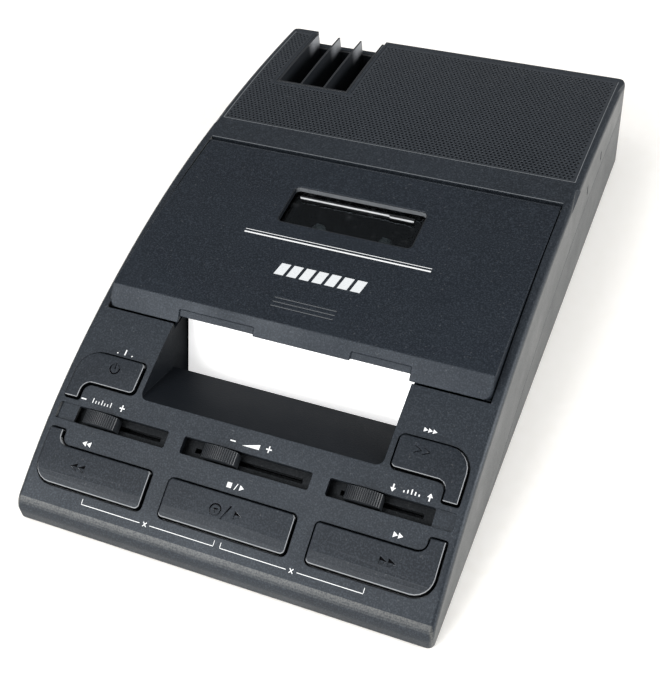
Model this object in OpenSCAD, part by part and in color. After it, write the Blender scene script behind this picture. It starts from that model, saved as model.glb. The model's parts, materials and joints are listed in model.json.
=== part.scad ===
// Desktop dictation and transcription machine for small tape cassettes.
// X runs to the right, Y to the back and Z up, in millimetres.
// The origin is on the table, below the middle of the case.

/* [Case] */
// Case width, side to side
case_width = 165; // [163:0.5:168]
// Case depth, front edge to back wall
case_depth = 274; // [272:0.5:276]
// Height of the top's crest above the case bottom
crest_height = 49.6; // [48.5:0.1:51]
// Wall thickness of both plastic shells
wall = 2.5; // [2.2:0.1:2.8]
// Rounding along the two long top edges
edge_round = 2.5; // [1:0.1:3]
// Height of the rubber feet below the case bottom
foot_drop = 1.2; // [0.8:0.1:2]

/* [Lid] */
// Lid width
lid_width = 155.6; // [154:0.1:156.2]
// Thickness of the lid plate
lid_thick = 2.4; // [2:0.1:2.8]
// Radius of the lid's arched top
lid_radius = 950; // [900:10:1100]
// Size of the lid window, across and front to back
window_size = [58, 21.6];

/* [Controls] */
// Gap between a button and the panel around it
button_gap = 0.8; // [0.5:0.05:0.9]
// How far a button stands above the panel
button_proud = 1.5; // [0.6:0.1:1.6]
// How far a button goes down when pressed
button_travel = 1.2; // [0.8:0.1:1.2]
// Length of a slider knob along its slot
knob_length = 13.4; // [12:0.2:15]
// Number of grip ribs on a slider knob
knob_ribs = 17; // [12:1:20]

/* [Cassette rack] */
// Number of cassettes the rack holds
rack_slots = 3; // [2:1:3]
// Clear width of one rack slot
slot_clear = 10.3; // [9:0.1:10.4]
// Thickness of the fins between slots
fin_thick = 1; // [0.8:0.1:1.4]

/* [Tape deck] */
// Distance between the two reel spindles
reel_pitch = 29; // [28:0.5:30]
// Capstan shaft radius
capstan_r = 1; // [0.8:0.1:1.2]
// Running clearance of a shaft in its bearing
running_gap = 0.04; // [0.02:0.01:0.08]
// Flywheel radius
flywheel_r = 18; // [16:0.5:18.5]

/* [Hidden] */
$fn = 96;

half_w = case_width / 2;
front_y = -case_depth / 2;
back_y = case_depth / 2;

// The top is three tangent arcs seen from the side, then a small nose at the front.
crest_y = 36;
back_radius = 750;
mid_radius = 405;
front_radius = 260;
nose_radius = 8;
// Direction in which the middle and front arcs meet, a 7-24-25 triangle.
joint_ray = [-0.28, 0.96];
back_centre = [crest_y, crest_height - back_radius];
mid_centre = [crest_y, crest_height - mid_radius];
joint_tilt = atan2(-joint_ray[0], joint_ray[1]);
joint_y = crest_y + mid_radius * joint_ray[0];
front_centre = mid_centre + (mid_radius - front_radius) * joint_ray;
// Hundredths of a millimetre by which the nose stands proud, so that it crosses its neighbours cleanly.
nose_flat = 0.02;
nose_step = 0.03;
nose_y = front_y + nose_radius - nose_flat;
nose_reach = front_radius - nose_radius + nose_step;
nose_z = front_centre[1] + sqrt(pow(nose_reach, 2) - pow(nose_y - front_centre[0], 2));
nose_tilt = atan2(front_centre[0] - nose_y, nose_z - front_centre[1]);
nose_ray = [-sin(nose_tilt), cos(nose_tilt)];
// Degrees by which one edge cut runs on into the next, so that no sliver stays between them.
cut_overlap = 0.3;
edge_crease = 15;

// The line where the two shells meet, an arc that runs flat at the back.
seam_top = 29.6;
seam_y = 95;
seam_radius = 488;
seam_gap = 0.3;

// Height of the outer surface at a distance from front to back, and its slope in degrees.
function top_z(y) = y < joint_y
    ? front_centre[1] + sqrt(pow(front_radius, 2) - pow(y - front_centre[0], 2))
    : y < crest_y
    ? mid_centre[1] + sqrt(pow(mid_radius, 2) - pow(y - mid_centre[0], 2))
    : back_centre[1] + sqrt(pow(back_radius, 2) - pow(y - back_centre[0], 2));
function top_tilt(y) = y < joint_y ? asin((front_centre[0] - y) / front_radius)
    : y < crest_y ? asin((mid_centre[0] - y) / mid_radius)
    : asin((back_centre[0] - y) / back_radius);

// Outline helpers: points run anticlockwise.
function unit(v) = v / norm(v);
function left_of(a, b) = let (d = unit(b - a)) [-d[1], d[0]];
function inset_path(p, d) = let (n = len(p)) [for (i = [0 : n - 1])
    let (m = left_of(p[(i + n - 1) % n], p[i]), k = left_of(p[i], p[(i + 1) % n]))
    p[i] + d * (m + k) / (1 + m * k)];
function turn(a) = a > 180 ? a - 360 : a < -180 ? a + 360 : a;
function corner_arc(a, p, b, r, steps) = let (
        u = unit(a - p), v = unit(b - p),
        half = acos(u * v) / 2,
        c = p + unit(u + v) * r / sin(half),
        s = p + u * r / tan(half) - c, e = p + v * r / tan(half) - c,
        a0 = atan2(s[1], s[0]), sweep = turn(atan2(e[1], e[0]) - a0))
    [for (i = [0 : steps]) c + r * [cos(a0 + sweep * i / steps), sin(a0 + sweep * i / steps)]];
function round_path(p, r, steps = 6) = let (n = len(p)) [for (i = [0 : n - 1])
    each corner_arc(p[(i + n - 1) % n], p[i], p[(i + 1) % n], r[i], steps)];
function box_path(x0, y0, x1, y1) = [[x0, y0], [x1, y0], [x1, y1], [x0, y1]];

module rounded_box(x0, y0, x1, y1, r) {
    polygon(round_path(box_path(x0, y0, x1, y1), [r, r, r, r]));
}

// Everything is drawn from the case bottom and lifted onto its feet.
module raised() {
    translate([0, 0, foot_drop]) children();
}

// Stands children on the outer surface at y, their own Z along the surface normal.
module on_surface(y) {
    translate([0, y, top_z(y)]) rotate([top_tilt(y), 0, 0]) children();
}

// Extrudes a side view, drawn with Y across and Z up, from x0 to x1.
module side_extrude(x0, x1) {
    translate([x0, 0, 0]) rotate([90, 0, 90]) linear_extrude(x1 - x0) children();
}

// ---- case ----

// Side view of everything more than t below the top surface, t inside the front and e inside the back.
module side_profile(t, e) {
    above = crest_height + 5;
    joint = joint_y - t * joint_ray[0];
    intersection() {
        translate(back_centre) circle(back_radius - t, $fn = 720);
        translate([crest_y, 0]) square([back_y - e - crest_y, above]);
    }
    intersection() {
        translate(mid_centre) circle(mid_radius - t, $fn = 720);
        translate([joint, 0]) square([crest_y - joint, above]);
    }
    intersection() {
        translate(front_centre) circle(front_radius - t, $fn = 720);
        translate([front_y - 1, 0]) square([joint - front_y + 1, above]);
        union() {
            translate([nose_y, nose_z]) circle(nose_radius - t);
            translate([front_y + t, 0]) square([nose_radius, nose_z]);
            polygon([[nose_y, 0], [joint + 1, 0], [joint + 1, above], [nose_y, nose_z] + above * nose_ray,
                [nose_y, nose_z]]);
        }
    }
}

// Cuts the outer corner off both long top edges, along one of the arcs of the top.
// Angles count from straight up; positive leans to the front.
module edge_cut(centre, radius, from, to) {
    for (side = [0, 1]) mirror([side, 0, 0])
        translate([0, centre[0], centre[1]]) rotate([0, 90, 0]) rotate([0, 0, 180 + from])
            rotate_extrude(angle = to - from, $fn = radius > 100 ? 720 : 96) edge_section(radius);
}
// What lies outside the rounded edge: radius across, case width up.
// The round meets the flat faces at a slight crease.
module edge_section(radius) {
    reach = edge_round * cos(edge_crease);
    difference() {
        translate([radius - reach, half_w - reach]) square(reach + 2);
        translate([radius - reach, half_w - reach]) circle(edge_round, $fn = 32);
    }
}

module outer_body() {
    back_tilt = asin((back_y + 1 - crest_y) / back_radius);
    difference() {
        intersection() {
            side_extrude(-half_w - 1, half_w + 1) side_profile(0, 0);
            translate([0, 0, -1]) linear_extrude(crest_height + 2) case_plan(0);
        }
        edge_cut(back_centre, back_radius, -back_tilt, 0);
        edge_cut(mid_centre, mid_radius, 0, joint_tilt + cut_overlap);
        edge_cut(front_centre, front_radius, joint_tilt, nose_tilt + cut_overlap);
        edge_cut([nose_y, nose_z], nose_radius, nose_tilt, 90);
    }
}
module case_plan(t) {
    polygon(inset_path(round_path(box_path(-half_w, front_y, half_w, back_y), [2.5, 2.5, 4, 4]), t));
}

// ---- seam between the shells ----

// Side view of everything more than drop below the seam.
module below_seam(drop) {
    intersection() {
        translate([seam_y, seam_top - seam_radius]) circle(seam_radius - drop, $fn = 720);
        translate([front_y - 1, -1]) square([seam_y - front_y + 1, seam_top + 1]);
    }
    translate([seam_y, -1]) square([back_y + 1 - seam_y, seam_top + 1 - drop]);
}

// ---- places of the controls, as seen from above ----

panel_y = -102;
panel_tilt = top_tilt(panel_y);
// Distance up the panel from its middle for a point of the surface at y.
function up_panel(y) = (y - panel_y) * cos(panel_tilt) + (top_z(y) - top_z(panel_y)) * sin(panel_tilt);
function to_panel(path) = [for (p = path) [p[0], up_panel(p[1])]];
module on_panel() {
    on_surface(panel_y) children();
}

// Cut-outs of the buttons on the left; the ones on the right mirror them.
power_path = to_panel([[-78.9, -97.4], [-72, -97.4], [-72, -90.8], [-50.9, -90.8], [-50.9, -77.4],
    [-78.9, -77.4]]);
power_radii = [1.2, 1.2, 3, 2.5, 2.5, 9];
rewind_path = to_panel([[-79, -127.8], [-32.2, -127.8], [-32.2, -113.4], [-72, -113.4], [-72, -108.2],
    [-79, -108.2]]);
rewind_radii = [8, 2.5, 2, 3, 1.2, 1.2];
play_path = to_panel(box_path(-25.7, -127.7, 25.7, -113.4));
play_radii = [2.4, 2.4, 2.4, 2.4];
power_at = [-64, up_panel(-84)];
rewind_at = [-55.6, up_panel(-120.5)];
play_at = [0, up_panel(-120.5)];

slot_low = up_panel(-105.3);
slot_high = up_panel(-99.1);
slot_mid = (slot_low + slot_high) / 2;
side_slot = [32.2, 71.3];
side_ledge = 79;
volume_slot = [-25.6, 25.6];
// Where the knobs stand at rest.
speed_x = -60.2;
volume_x = -10.1;
tone_x = 45.8;

// A button outline shrunk by d; inner corners grow where outer ones shrink.
module button_outline(path, radii, inner, d) {
    polygon(round_path(inset_path(path, d), [for (i = [0 : len(radii) - 1])
        len(search(i, inner)) > 0 ? radii[i] + d : max(0.4, radii[i] - d)]));
}
module power_outline(d) {
    button_outline(power_path, power_radii, [2], d);
}
module rewind_outline(d) {
    button_outline(rewind_path, rewind_radii, [3], d);
}
module play_outline(d) {
    button_outline(play_path, play_radii, [], d);
}

// ---- top shell ----

lid_half = lid_width / 2;
lid_gap = 0.5;
lid_front_y = -58.6;
lid_brow_y = -52.3;
lid_back_y = 38.3;
hinge_r = 2.2;
hinge_y = lid_back_y - hinge_r;
hinge_z = crest_height - hinge_r - 0.1;
pin_r = 1;

// Higher than any part of the machine.
above_all = 60;

well_half = 48.7;
well_corner = 3;
well_wall = 1.2;
well_front_y = -90.8;
well_edge = [-66, 20.4];
well_floor_z = 5.3;
well_top_z = 35.6;
well_back_y = -46;

grille_x = 79.2;
grille_front_y = 53.2;
grille_back_y = 133.7;
grille_thick = 1;
grille_inset = 0.2;

rack_middle = -51;
rack_pitch = slot_clear + fin_thick;
rack_half = (rack_slots * rack_pitch - fin_thick) / 2;
rack_wall = 1.2;
rack_front_y = 88;
rack_end_y = 134.3;
rack_notch_z = 36;
rack_frame = 2.8;

vent_spots = [65.5, 89.3];
vent_z = 36;
speaker_at = [22, 93];
screw_spots = [[-72, -67], [72, -67], [-74.5, 127.5], [74.5, 127.5]];
screw_boss_r = 3;
screw_r = 1.4;
screw_head_r = 2.8;

// Plan of the speaker grille: a plate wrapped round three sides of the rack.
function grille_path(d) = inset_path([[-grille_x, grille_front_y], [grille_x, grille_front_y],
    [grille_x, grille_back_y], [rack_middle + rack_half + rack_frame, grille_back_y],
    [rack_middle + rack_half + rack_frame, rack_front_y - rack_frame],
    [rack_middle - rack_half - rack_frame, rack_front_y - rack_frame],
    [rack_middle - rack_half - rack_frame, grille_back_y], [-grille_x, grille_back_y]], d);

// Everything above a depth t below the back part of the top.
module above_back(t, x0, x1) {
    difference() {
        translate([x0, crest_y, 20]) cube([x1 - x0, back_y - crest_y + 2, crest_height]);
        translate([x0 - 1, back_centre[0], back_centre[1]]) rotate([0, 90, 0])
            cylinder(r = back_radius - t, h = x1 - x0 + 2, $fn = 720);
    }
}

// The space in front of the lid: down the slope, then a drop behind it. Its front corners are rounded.
module well_hollow() {
    intersection() {
        side_extrude(-well_half, well_half) polygon([[well_front_y, top_z(well_front_y)], well_edge,
            [well_edge[0], well_floor_z], [well_back_y, well_floor_z], [well_back_y, above_all],
            [well_front_y, above_all]]);
        linear_extrude(above_all) polygon(round_path(box_path(-well_half, well_front_y, well_half,
            well_back_y + 1), [well_corner, well_corner, 0.5, 0.5]));
    }
}
// Side view of the plastic round that space.
module well_solid() {
    polygon([[well_front_y - 3, top_z(well_front_y - 3) - 1],
        [well_front_y - 1, top_z(well_front_y - 1) - 2.4],
        [well_edge[0] - well_wall, well_edge[1] - 1.6], [well_edge[0] - well_wall, well_floor_z],
        [well_back_y, well_floor_z], [well_back_y, well_top_z], [lid_front_y - 1, well_top_z],
        [lid_front_y - 1, top_z(lid_front_y - 1) - 1], [-75, top_z(-75) - 1]]);
}

module top_shell() {
    inner = half_w - wall;
    color("#2e3238") raised() difference() {
        union() {
            difference() {
                outer_body();
                side_extrude(-inner, inner) side_profile(wall, wall);
                side_extrude(-half_w - 1, half_w + 1) below_seam(0);
            }
            side_extrude(-well_half - well_wall, well_half + well_wall) well_solid();
            for (spot = screw_spots) translate([spot[0], spot[1], 3])
                cylinder(r = screw_boss_r, h = top_z(spot[1]) - wall - 2);
            for (side = [-1, 1]) translate([side * (half_w - wall - 0.8), hinge_y, hinge_z - 1])
                cube([2.6, 8, 6], center = true);
        }
        well_hollow();
        lid_opening();
        for (side = [-1, 1]) {
            translate([side * (half_w - wall - 0.5), hinge_y, hinge_z]) rotate([0, 90, 0])
                cylinder(r = pin_r + 0.02, h = 3.4, center = true);
            for (y = vent_spots) translate([side * half_w, y, vent_z])
                cube([3 * wall, 1.2, 4.6], center = true);
        }
        on_panel() {
            for (flip = [0, 1]) mirror([flip, 0, 0]) {
                control_cut(8) power_outline(0);
                control_cut(8) rewind_outline(0);
                control_cut(8) rounded_box(-side_slot[1], slot_low, -side_slot[0], slot_high, 0.8);
                control_cut(1.2) rounded_box(-side_ledge, slot_low, -side_slot[1] + 2, slot_high, 0.8);
            }
            control_cut(8) play_outline(0);
            control_cut(8) rounded_box(volume_slot[0], slot_low, volume_slot[1], slot_high, 0.8);
        }
        intersection() {
            above_back(grille_thick + grille_inset, -half_w, half_w);
            translate([0, 0, 20]) linear_extrude(40) polygon(grille_path(0));
        }
        rack_opening();
        on_surface(speaker_at[1]) translate([speaker_at[0], 0, -6]) cylinder(r = 28, h = 8);
        for (spot = screw_spots) translate([spot[0], spot[1], 2]) cylinder(r = screw_r + 0.05, h = 20);
    }
}
// A cut down through the panel, depth deep.
module control_cut(depth) {
    translate([0, 0, -depth]) linear_extrude(depth + 4) children();
}
module lid_opening() {
    half = lid_half + lid_gap;
    length = lid_back_y - lid_front_y + 2 * lid_gap;
    translate([-half, lid_front_y - lid_gap, well_top_z]) cube([2 * half, length, 30]);
}
module rack_opening() {
    half = rack_half + rack_wall + 0.1;
    translate([rack_middle - half, rack_front_y - rack_wall - 0.1, rack_notch_z])
        cube([2 * half, back_y, crest_height]);
}

// ---- base shell ----

foot_spots = [[-66, -120], [66, -120], [-66, 116], [66, 116]];
foot_r = 6;
foot_pocket = 1.2;
deck_posts = [[-42, -27], [42, -27], [-42, 27], [42, 27]];
plate_posts = [[-70, -36], [70, -36], [-70, 38], [70, 38]];
board_posts = [[-70, -20], [70, -20], [-70, 20], [70, 20]];
deck_z = 33.5;
deck_thick = 2;
chassis_z = 30.5;
chassis_thick = 1.2;
board_z = 4.5;
board_thick = 1.6;
socket_z = 15;
power_socket_x = 52;
phone_socket_x = 32;
pedal_socket_x = 4;

module base_shell() {
    inner = half_w - wall;
    color("#2a2d32") raised() difference() {
        union() {
            difference() {
                intersection() {
                    linear_extrude(seam_top + 1) case_plan(0);
                    side_extrude(-half_w, half_w) below_seam(seam_gap);
                }
                translate([-inner, front_y, wall]) cube([2 * inner, case_depth - wall, 40]);
                translate([-half_w - 1, front_y - 1, -1]) cube([case_width + 2, 66, 40]);
            }
            translate([-inner + 0.2, front_y + wall + 0.2, 0]) cube([2 * inner - 0.4, 70, wall]);
            posts(deck_posts, 3, chassis_z);
            posts(plate_posts, 3.5, deck_z);
            posts(board_posts, 3, board_z);
        }
        for (p = foot_spots) translate([p[0], p[1], -1]) cylinder(r = foot_r + 0.2, h = foot_pocket + 1);
        for (p = screw_spots) translate([p[0], p[1], -1]) {
            cylinder(r = screw_r + 0.3, h = wall + 2);
            cylinder(r = screw_head_r + 0.3, h = 2.4);
        }
        back_hole(power_socket_x) cylinder(r = 5, h = wall + 2);
        back_hole(phone_socket_x) cylinder(r = 3.6, h = wall + 2);
        back_hole(pedal_socket_x) translate([-7, -6, 0]) cube([14, 12, wall + 2]);
    }
}
// Round posts standing on the floor of the base, up to the height top.
module posts(spots, r, top) {
    for (p = spots) translate([p[0], p[1], wall - 0.5]) cylinder(r = r, h = top - wall + 0.5);
}
// Stands children at a socket's place, their Z pointing out through the back wall.
module back_hole(x) {
    translate([x, back_y - wall - 1, socket_z]) rotate([-90, 0, 0]) children();
}

// ---- grille, rack and index card ----

module speaker_grille() {
    color("#25292e") raised() intersection() {
        difference() {
            above_back(grille_thick, -half_w, half_w);
            above_back(0, -half_w - 1, half_w + 1);
        }
        translate([0, 0, 20]) linear_extrude(40) polygon(grille_path(grille_inset));
    }
}

module cassette_rack() {
    half = rack_half + rack_wall;
    floor_z = 9;
    color("#1d2024") raised() difference() {
        translate([rack_middle - half, rack_front_y - rack_wall, floor_z - 1.5])
            cube([2 * half, rack_end_y - rack_front_y + rack_wall, crest_height]);
        for (i = [0 : rack_slots - 1])
            translate([rack_middle - rack_half + i * rack_pitch, rack_front_y, floor_z])
                cube([slot_clear, rack_end_y - rack_front_y - rack_wall, crest_height]);
        for (i = [0 : rack_slots - 1])
            translate([rack_middle - rack_half + i * rack_pitch, rack_end_y - 2 * rack_wall, rack_notch_z])
                cube([slot_clear, 3 * rack_wall, crest_height]);
        above_back(0, rack_middle - half - 1, rack_middle + half + 1);
    }
}

card_foot = [-59.5, 7.2];
card_lean = 69;
card_length = 30.5;
card_thick = 0.4;
holder_thick = 1.6;
module on_card() {
    translate([0, card_foot[0], card_foot[1]]) rotate([card_lean, 0, 0]) children();
}
module index_card() {
    color("#f4f4f0") raised() on_card() translate([-well_half + 0.6, 0.1, -card_thick])
        cube([2 * well_half - 1.2, card_length, card_thick]);
}
module card_well_back() {
    half = well_half - 0.2;
    shelf = 1.4;
    under = card_thick + 0.05 + holder_thick;
    color("#23262b") raised() {
        on_card() {
            translate([-half, 0, -under]) cube([2 * half, card_length + 0.5, holder_thick]);
            translate([-half, -shelf, -under]) cube([2 * half, shelf + 0.05, holder_thick + card_thick + 1]);
        }
        translate([-half, well_edge[0] + 0.2, well_floor_z]) cube([2 * half, 8, 1.2]);
    }
}

// ---- lid ----

lid_centre_z = crest_height - lid_radius;
lip_cut_z = 39.9;
window_y = 7.8;
bay_x = 28;
bay_y = [-14, 23];

function lid_z(y) = lid_centre_z + sqrt(pow(lid_radius, 2) - pow(y - crest_y, 2));

// Side view of the lid's arched plate between two depths below its top.
module lid_arc(t0, t1, y0, y1) {
    intersection() {
        difference() {
            translate([crest_y, lid_centre_z]) circle(lid_radius - t0, $fn = 1440);
            translate([crest_y, lid_centre_z]) circle(lid_radius - t1, $fn = 1440);
        }
        translate([y0, 30]) square([y1 - y0, 30]);
    }
}
module lid_side_view() {
    lid_arc(0, lid_thick, lid_brow_y, hinge_y);
    translate([hinge_y, hinge_z]) circle(hinge_r);
    polygon([[lid_brow_y, lid_z(lid_brow_y)], [lid_front_y, 38.5], [lid_front_y + 2.4, 38.5],
        [lid_brow_y + 1, lid_z(lid_brow_y) - lid_thick], [lid_brow_y + 1, lid_z(lid_brow_y) - 0.3]]);
}
// Side view of the skirts that close the lid's sides down to the case rails.
module lid_skirt_view() {
    polygon([[lid_brow_y, lid_z(lid_brow_y) - 0.4], [lid_front_y + 0.4, 38.4], [lid_front_y + 0.4, 36.8],
        [-30, 42.2], [0, 45.5], [18, 46.8], [18, lid_z(18) - 1], [-10, lid_z(-10) - 1],
        [-30, lid_z(-30) - 1]]);
}
// A tall block in the lid's plan, with its front corners rounded.
module lid_plan() {
    translate([0, 0, 30]) linear_extrude(30) polygon(round_path(
        box_path(-lid_half, lid_front_y, lid_half, lid_back_y), [3, 3, 0.5, 0.5]));
}
// A tall block in the window's plan, grown by margin.
module window_plan(margin, corner) {
    half = window_size / 2 + [margin, margin];
    translate([0, 0, 30]) linear_extrude(30)
        rounded_box(-half[0], window_y - half[1], half[0], window_y + half[1], corner);
}
module lid() {
    skirt = 1.6;
    grip_y = -43;
    grip_pitch = 2.05;
    notch_left = [-47.3, -15.8];
    notch_right = [23.8, 47.3];
    color("#2f343a") raised() difference() {
        union() {
            intersection() {
                side_extrude(-lid_half, lid_half) lid_side_view();
                lid_plan();
            }
            intersection() {
                for (side = [-1, 1]) translate([side * (lid_half - skirt / 2), 0, 0])
                    side_extrude(-skirt / 2, skirt / 2) lid_skirt_view();
                lid_plan();
            }
            // Hook that reaches down to the catch.
            translate([-5, -44, 38]) cube([10, 1.4, 7]);
            translate([-5, -42.7, 38]) cube([10, 0.7, 1]);
        }
        window_plan(0, 2.5);
        translate([-well_half + 1.4, lid_front_y - 1, 30]) cube([2 * well_half - 2.8, 5, lip_cut_z - 30]);
        for (n = [notch_left, notch_right]) side_extrude(n[0], n[1])
            polygon([[lid_front_y - 2, 30], [lid_front_y + 1.2, 30], [lid_front_y + 2.2, lip_cut_z],
                [lid_brow_y - 2.2, 42.2], [lid_brow_y - 4, 43.2], [lid_front_y - 2, 40]]);
        // Three fine grooves for the finger.
        for (i = [-1 : 1]) let (y = grip_y + i * grip_pitch)
            translate([0, y, lid_z(y) - 0.05]) cube([26, 0.55, 0.7], center = true);
        for (side = [-1, 1]) translate([side * (lid_half - 2.5), hinge_y, hinge_z]) rotate([0, 90, 0])
            cylinder(r = pin_r + running_gap, h = 7, center = true);
    }
}
module lid_window() {
    margin = 2.2;
    half = window_size / 2 + [margin, margin];
    color([0.5, 0.55, 0.6, 0.35]) raised() intersection() {
        side_extrude(-half[0], half[0])
            lid_arc(lid_thick, lid_thick + 1, window_y - half[1], window_y + half[1]);
        window_plan(margin, 2);
    }
}
module hinge_pins() {
    color("#b9bcc0") raised() for (side = [-1, 1])
        translate([side * (lid_half - 2.2 + 0.5), hinge_y, hinge_z]) rotate([0, 90, 0])
            cylinder(r = pin_r, h = 7, center = true);
}
module lid_catch() {
    color("#a9acb0") raised() {
        translate([-6, -41.6, deck_z + deck_thick]) cube([12, 0.5, 6]);
        translate([-6, -41.6, deck_z + deck_thick]) cube([12, 5, 0.5]);
    }
}
// Two leaf springs under the lid that hold the cassette down: a flat foot, a slope and an upturned tip.
module cassette_springs() {
    leaf = 0.4;
    foot_y = [25.5, 29];
    slope_y = 19.5;
    tip = [17, 44.6];
    under = lid_z(foot_y[0]) - lid_thick - 0.05;
    color("#c9ccd0") raised() for (x = [-18, 10]) side_extrude(x, x + 8) polygon([[foot_y[1], under - leaf],
        [foot_y[1], under], [foot_y[0], under], [slope_y, tip[1] - 0.3], tip, [tip[0], tip[1] - leaf],
        [slope_y, tip[1] - 0.3 - leaf], [foot_y[0], under - leaf - 0.1]]);
}

// ---- tape deck ----

reel_y = 5.6;
reel_x = reel_pitch / 2;
capstan_at = [12, -9];
motor_at = [-35, -12];
motor_r = 11;
pulley_r = 2.5;
shaft_r = 1;
belt_z = 11;
guide_pin_at = [1.8, 2.2];
bearing_r = 2.6;
disc_r = 12;
disc_z = 26.5;
disc_thick = 2.2;
hub_r = 2.9;
idler_r = 5;
idler_pin_r = 1;
idler_gap = 0.25;
idler_y = reel_y + sqrt(pow(disc_r + idler_r + idler_gap, 2) - pow(reel_x, 2));

module deck_plate() {
    half = half_w - wall - 0.4;
    wall_top = 41;
    color("#1b1e22") raised() difference() {
        union() {
            translate([-half, -44.5, deck_z]) cube([2 * half, 88, deck_thick]);
            difference() {
                translate([-bay_x - 1.5, bay_y[0] - 1.5, deck_z + 1])
                    cube([2 * bay_x + 3, bay_y[1] - bay_y[0] + 3, wall_top - deck_z - 1]);
                translate([-bay_x, bay_y[0], deck_z]) cube([2 * bay_x, bay_y[1] - bay_y[0], 20]);
                translate([-24, bay_y[0] - 3, deck_z + 1]) cube([48, 6, 20]);
            }
            translate([guide_pin_at[0], guide_pin_at[1], deck_z + 1]) cylinder(r = 1.2, h = 7.4);
            for (x = [-22, 22]) translate([x, 17, deck_z + 1]) cylinder(r = 1.5, h = 3);
        }
        for (side = [-1, 1]) translate([side * reel_x, reel_y, deck_z - 1]) cylinder(r = 5, h = 5);
        translate([capstan_at[0], capstan_at[1], deck_z - 1]) cylinder(r = 4, h = 5);
        translate([-20, -26.5, deck_z - 1]) cube([40, 16, 5]);
    }
}

module deck_chassis() {
    color("#9a9da1") raised() difference() {
        translate([-46, -31, chassis_z]) cube([92, 62, chassis_thick]);
        for (side = [-1, 1]) translate([side * reel_x, reel_y, chassis_z - 1])
            cylinder(r = hub_r + running_gap, h = 4);
        translate([0, idler_y, chassis_z - 1]) cylinder(r = idler_pin_r + running_gap, h = 4);
        translate([capstan_at[0], capstan_at[1], chassis_z - 1]) cylinder(r = bearing_r + 0.02, h = 4);
    }
}

// A reel spindle: gear disc below the chassis, splined hub in the cassette bay.
module spindle(x) {
    translate([x, reel_y, 0]) {
        translate([0, 0, disc_z]) cylinder(r = disc_r, h = disc_thick);
        translate([0, 0, disc_z]) cylinder(r = hub_r, h = 14);
        translate([0, 0, disc_z + 14]) cylinder(r1 = hub_r, r2 = 1, h = 1.8);
        for (a = [0, 120, 240]) rotate([0, 0, a]) translate([0, -0.5, 36]) cube([3.9, 1, 4]);
    }
}
module supply_spindle() {
    color("#e4e4de") raised() spindle(-reel_x);
}
module take_up_spindle() {
    color("#e4e4de") raised() spindle(reel_x);
}

module idler_wheel() {
    color("#d8d8d0") raised() translate([0, idler_y, 0]) {
        translate([0, 0, disc_z]) cylinder(r = idler_r - 1, h = 2);
        translate([0, 0, disc_z - 1]) cylinder(r = idler_pin_r, h = 6);
    }
}
module idler_tyre() {
    color("#222222") raised() translate([0, idler_y, disc_z]) difference() {
        cylinder(r = idler_r, h = 2);
        translate([0, 0, -1]) cylinder(r = idler_r - 1, h = 4);
    }
}
module capstan() {
    low = 8.4;
    high = 41.8;
    color("#d4d6d8") raised() translate([capstan_at[0], capstan_at[1], low])
        cylinder(r = capstan_r, h = high - low);
}
module flywheel() {
    color("#b08d4a") raised() translate([capstan_at[0], capstan_at[1], 9.5]) difference() {
        union() {
            cylinder(r = flywheel_r, h = 4.5);
            cylinder(r = 3.5, h = 6);
        }
        translate([0, 0, -1]) cylinder(r = capstan_r, h = 9);
        translate([0, 0, 3.3]) difference() {
            cylinder(r = flywheel_r - 3, h = 3);
            translate([0, 0, -1]) cylinder(r = 5, h = 5);
        }
    }
}
module capstan_bearing() {
    color("#c2a14e") raised() translate([capstan_at[0], capstan_at[1], 0]) difference() {
        union() {
            translate([0, 0, 16]) cylinder(r = bearing_r, h = deck_z - 16);
            translate([0, 0, chassis_z - 1.2]) cylinder(r = 4.5, h = 1.2);
        }
        translate([0, 0, 15]) cylinder(r = capstan_r + running_gap, h = 23);
    }
}
module flywheel_bracket() {
    reach = flywheel_r + 2;
    color("#8d9094") raised() translate([capstan_at[0], capstan_at[1], 0]) {
        translate([-reach, -3, 7]) cube([2 * reach, 6, 1.2]);
        for (side = [-1, 1]) translate([side * reach - 0.6, -3, 7]) cube([1.2, 6, chassis_z - 7]);
    }
}
module motor() {
    color("#8f9296") raised() translate([motor_at[0], motor_at[1], 0]) {
        difference() {
            union() {
                translate([0, 0, 15]) cylinder(r = motor_r, h = chassis_z - 15);
                translate([0, 0, 13.6]) cylinder(r = 3, h = 1.6);
            }
            translate([0, 0, 13]) cylinder(r = shaft_r + running_gap, h = 5);
        }
    }
}
module motor_pulley() {
    color("#c2a14e") raised() translate([motor_at[0], motor_at[1], 0]) {
        translate([0, 0, 10]) cylinder(r = pulley_r + 1, h = 0.8);
        translate([0, 0, 10]) cylinder(r = pulley_r, h = 3);
        translate([0, 0, 12.6]) cylinder(r = pulley_r + 1, h = 0.8);
        translate([0, 0, 10]) cylinder(r = shaft_r, h = 7.5);
    }
}
module drive_belt() {
    slack = 0.15;
    thick = 0.8;
    color("#1c1c1c") raised() translate([0, 0, belt_z]) linear_extrude(1.4) difference() {
        belt_loop(slack + thick);
        belt_loop(slack);
    }
}
// The area inside a belt round both pulleys: two circles and the straight runs' four corners.
module belt_loop(grow) {
    big = flywheel_r + grow;
    small = pulley_r + grow;
    apart = capstan_at - motor_at;
    reach = norm(apart);
    spread = acos((big - small) / reach);
    translate(motor_at) rotate([0, 0, atan2(apart[1], apart[0])]) {
        circle(small);
        translate([reach, 0]) circle(big);
        polygon([for (end = [[0, small, -1], [reach, big, -1], [reach, big, 1], [0, small, 1]])
            [end[0] - (end[1] - 0.01) * cos(spread), end[2] * (end[1] - 0.01) * sin(spread)]]);
    }
}

bridge_z = chassis_z + chassis_thick + 0.2;
bridge_thick = 1.2;
head_z = bridge_z + bridge_thick;

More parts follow.
